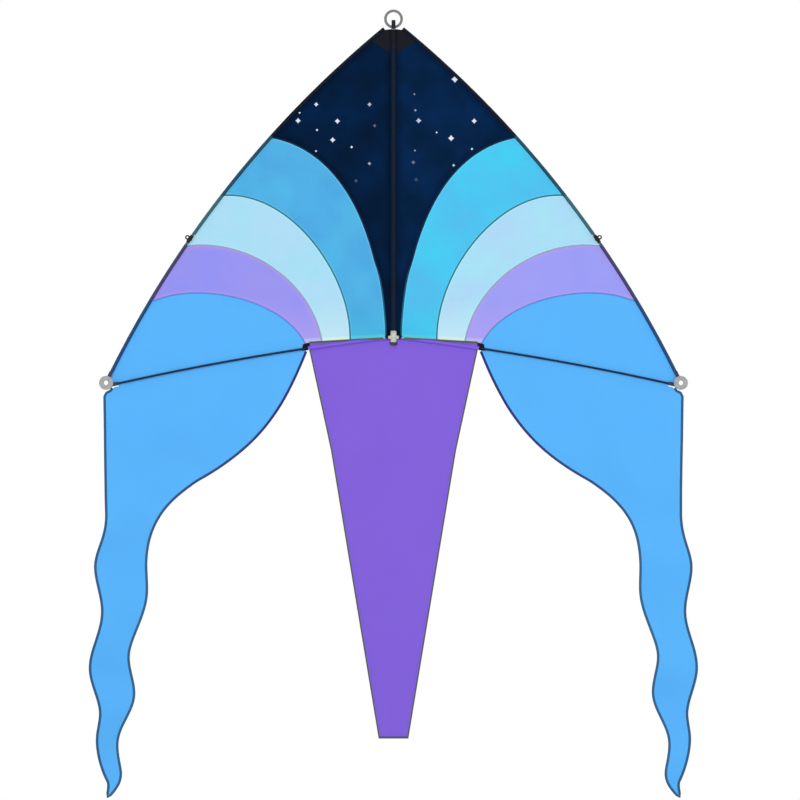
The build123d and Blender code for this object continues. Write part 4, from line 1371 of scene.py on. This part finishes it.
header_top = patterns["header"][0][np.argmax(patterns["header"][0][:, 0])]
fold_corner = np.array([patterns["tail"][0][:, 0].max(), FOLD_Z])
foot_corner = np.array([0.0365, patterns["tail"][0][:, 1].min()])
HEM_TAPE = rounded(1.75, 0.6, -1.25)
HEM_PATCH = np.array([[203.5, -788.5], [220.5, -791.5], [225.0, -808.0], [208.5, -807.0]]) * MM
KNOT_PROFILE = [(lift * 1.12 + 0.35, out * 1.15) for lift, out in HEM_PROFILE]
for side in SIDES:
    surface = wing_cloth[side]
    for face, off in (("leeward", -0.55 * MM), ("windward", 0.55 * MM)):
        patch = cut_sheet(side + "_nose_patch_" + face, patterns["nose_patch"], surface, black_tape, side,
                off, 4 * MM)
        bend_at_spine(sew_piece(side, "nose_patch_" + face, patch, side + "_nose_patch"))
    line = straight(header_top, fold_corner)
    hem = tape(side + "_header_hem", [run_on(tail_half[side], line)], HEM_TAPE, olive_tape, side)
    bend_at_hem(sew_piece(side, "header_hem", hem, "tail_header_hems"))
    rows = [run_on(tail_half[side], line, out * MM) for out in (-2.2, -7.2)]
    row = stitches(side + "_header_stitches", rows, threads["violet"], side, 1.3 * MM)
    bend_at_hem(sew_piece(side, "header_stitches", row))
    runs, rows = [], []
    for off in (-0.35 * MM, 0.35 * MM):
        flat, above = facing_edge(off)
        places = wing_to_kite(*flat.T, SAIL_HEIGHT + surface.lift(*flat.T) + above)
        runs.append((places, np.tile(WINDWARD, (len(flat), 1))))
        rows.append((places + WINDWARD * 1.6 * off, runs[-1][1]))
    ends = on_rod(spreader, hem_ends[-1] - 1 * MM, hem_ends[-1] + 4.5 * MM)
    corner = [smoothed(HEM_PATCH, 3 * MM)]
    facing = tape(side + "_facing_tape", runs, rounded(2.3, 0.35), olive_tape, side)
    facing_rows = stitches(side + "_facing_stitches", rows, threads["olive"], side, 0.5 * MM)
    end_binding = tape(side + "_hem_end_binding", [ends], KNOT_PROFILE, black_tape, side)
    patch = cut_sheet(side + "_hem_corner_patch", corner, surface, black_tape, side, -0.5 * MM, 3 * MM)
    for kind, piece in (("hem_line", facing), ("facing_stitches", facing_rows), ("hem_end", end_binding),
            ("hem_patch", patch)):
        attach(sew_piece(side, kind, piece), side + "_wing")

right_side = straight(fold_corner, foot_corner)
left_side = right_side[::-1] * [-1, 1]
trims["tail_hems"] = tape("centre_tail_hem_tape",
        [run_on(tail_cloth, right_side), run_on(tail_cloth, left_side)], HEM_TAPE, olive_tape)
rows = [run_on(tail_cloth, line, out * MM) for line in (right_side, left_side) for out in (-2.2, -7.2)]
foot_line = straight((-foot_corner[0], TAIL_FOOT_Z), (foot_corner[0], TAIL_FOOT_Z))
trims["pocket"] = tape("batten_pocket_hem", [run_on(tail_cloth, foot_line)], POCKET_PROFILE, foot_tape)
rows += [run_on(tail_cloth, foot_line, out * MM) for out in (2.7, 8.6)]
trims["tail_stitches"] = stitches("centre_tail_stitches", rows, threads["violet"], height=1.4 * MM)
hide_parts("centre_tail_hems")
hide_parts("tail_batten_pocket")
for kind in ("tail_hems", "tail_stitches"):
    bend_at_tail(trims[kind])
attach(trims["pocket"], "centre_tail")

keel_front, keel_rear = (SPINE_Y + KEEL_ROOT, -0.2345), (SPINE_Y + KEEL_ROOT, -0.7455)
keel_tow = tuple(patterns["keel"][0][np.argmax(patterns["keel"][0][:, 0])])
keel_lines = [straight(keel_front, keel_tow), straight(keel_tow, keel_rear)]
KEEL_TAPE = rounded(3.9, 0.8, 3.2)
trims["keel_tape"] = tape("keel_folded_tape", [run_on(keel_cloth, line) for line in keel_lines], KEEL_TAPE,
        black_tape, ruffle=0.3 * MM)
root_line = straight(keel_front, keel_rear)
rows = [run_on(keel_cloth, line, 5.9 * MM) for line in keel_lines] + [run_on(keel_cloth, root_line, 4 * MM)]
trims["keel_stitches"] = stitches("keel_stitches", rows, threads["black"], height=2.0 * MM)
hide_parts("keel_edge_tape")
for kind in ("keel_tape", "keel_stitches"):
    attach(trims[kind], "keel")
print("keel edges", [run_length(line) for line in keel_lines], "m")

# %% [markdown]
# The rods and fittings keep their exact shapes and only get truer finishes. Moulded nylon, the pultruded
# rods and the metal all get a fine grain in their relief and soft handling marks in their tone and gloss.

# %% Fittings' finishes
def grain_group():
    inputs = [("Size", "value", 0.6 * MM), ("Mark Size", "value", 7 * MM)]
    group, given, made = shader_group("fine_grain", inputs, [("Height", "value"), ("Marks", "value")])
    place = add_node(group, "ShaderNodeTexCoord").outputs["Object"]
    fine = math_node(group, "DIVIDE", 1.0, given["Size"])
    noise = add_node(group, "ShaderNodeTexNoise", {"Vector": place, "Scale": fine, "Detail": 2.0})
    broad = math_node(group, "DIVIDE", 1.0, given["Mark Size"])
    marks = add_node(group, "ShaderNodeTexNoise",
            {"Vector": place, "Scale": broad, "Detail": 4.0, "Distortion": 0.8})
    feed(made["Height"], noise.outputs[0])
    centred = math_node(group, "SUBTRACT", marks.outputs[0], 0.42)
    feed(made["Marks"], math_node(group, "MULTIPLY", centred, 3.0, clamp=True))
    return group


fine_grain = grain_group()


def fitting(name, main, worn, roughness=0.42, metallic=0.0, grain=0.6 * MM, marks=7 * MM, bump=0.12,
        specular=0.4, dark_beyond=None, dark=None):
    """A smooth hard finish with grain in its relief and handling marks in its tone and gloss.

    Where dark_beyond gives a centre, a reach and the axes that count, the arms beyond are dyed dark."""
    material, tree = new_material(name)
    main, worn = colour(*main), colour(*worn)
    surface_marks = use_group(tree, fine_grain, {"Size": grain, "Mark Size": marks})
    tone = mix_colours(tree, surface_marks.outputs["Marks"], main, worn)
    if dark_beyond is not None:
        centre, reach, counted = dark_beyond
        place = add_node(tree, "ShaderNodeTexCoord").outputs["Object"]
        folded = vector_math(tree, "MULTIPLY", vector_math(tree, "ABSOLUTE", place), counted)
        away = vector_math(tree, "DISTANCE", folded, centre, "Value")
        tone = mix_colours(tree, math_node(tree, "GREATER_THAN", away, reach), tone, colour(*dark))
    gloss = math_node(tree, "MULTIPLY", surface_marks.outputs["Marks"], 0.16)
    coat(tree,
            {"Base Color": tone, "Roughness": math_node(tree, "ADD", gloss, roughness - 0.08),
            "Metallic": metallic, "Specular IOR Level": specular,
            "Normal": relief(tree, surface_marks.outputs["Height"], bump, 0.1 * MM)})
    return material


TIP_EYE = tuple(abs(float(value)) for value in wing_to_kite(0.702, -0.886, 0.0))
soft = {"roughness": 0.6, "bump": 0.25, "specular": 0.2}
pale_arms = {"dark_beyond": (TIP_EYE, 17.4 * MM, (1, 1, 1)), "dark": (14, 40, 66)}
hub_arms = {"dark_beyond": ((0, 0, 0), 12.4 * MM, (1, 0, 0)), "dark": (40, 50, 36)}
rod = {"roughness": 0.45, "grain": 0.25 * MM, "marks": 20 * MM, "specular": 0.2}
tube = {"roughness": 0.4, "metallic": 1.0, "grain": 0.2 * MM}
brass = {"roughness": 0.36, "metallic": 1.0, "grain": 0.3 * MM}
finishes = {
    "grey_moulding": fitting("grey_nylon", (126, 128, 128), (104, 106, 108)),
    "pale_moulding": fitting("pale_nylon", (170, 171, 172), (148, 150, 152), **pale_arms),
    "ivory_moulding": fitting("ivory_nylon", (204, 208, 190), (178, 180, 158), **hub_arms),
    "brown_vinyl": fitting("brown_vinyl", (84, 62, 44), (66, 48, 34), **soft),
    "dark_vinyl": fitting("dark_vinyl", (12, 13, 20), (26, 26, 32), **soft),
    "fibreglass": fitting("fibreglass_rod", (4, 24, 56), (8, 32, 66), **rod),
    "ferrule_metal": fitting("drawn_tube", (74, 80, 90), (60, 64, 74), **tube),
    "eyelet_metal": fitting("pressed_brass", (196, 170, 108), (160, 134, 80), **brass),
}
repainted = 0
for name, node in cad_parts.items():
    finish_name = "pale_moulding" if "wingtip" in name else node.material_slots[0].material.name
    if finish_name in finishes:
        node.material_slots[0].material = finishes[finish_name]
        repainted += 1
print("fittings refinished:", repainted)

# %% [markdown]
# For every sheet the flat size of its pattern is worked out again. A tape, a patch or a row of stitches
# belongs to the sheet it is sewn to, as SEWN_ON lists.

SEWN_ON = {
    "navy": ("stretched", "nose_patch_leeward nose_patch_windward upper_sleeve"),
    "azure": ("stretched", "seams seam_stitches"),
    "pale": ("stretched", "hem hem_line hem_stitches"),
    "lavender": ("stretched", "hem_end hem_patch facing_stitches"),
    "blue": ("stretched", "lower_sleeve edge_stitches"),
    "streamer": ("hung", "binding binding_stitches"),
    "header": ("hung", "hub_patch header_hem header_stitches"),
}
for side in SIDES:
    for name, (held, kinds) in SEWN_ON.items():
        declare(patterns[name])
declare(patterns["tail"])
declare(patterns["keel"])
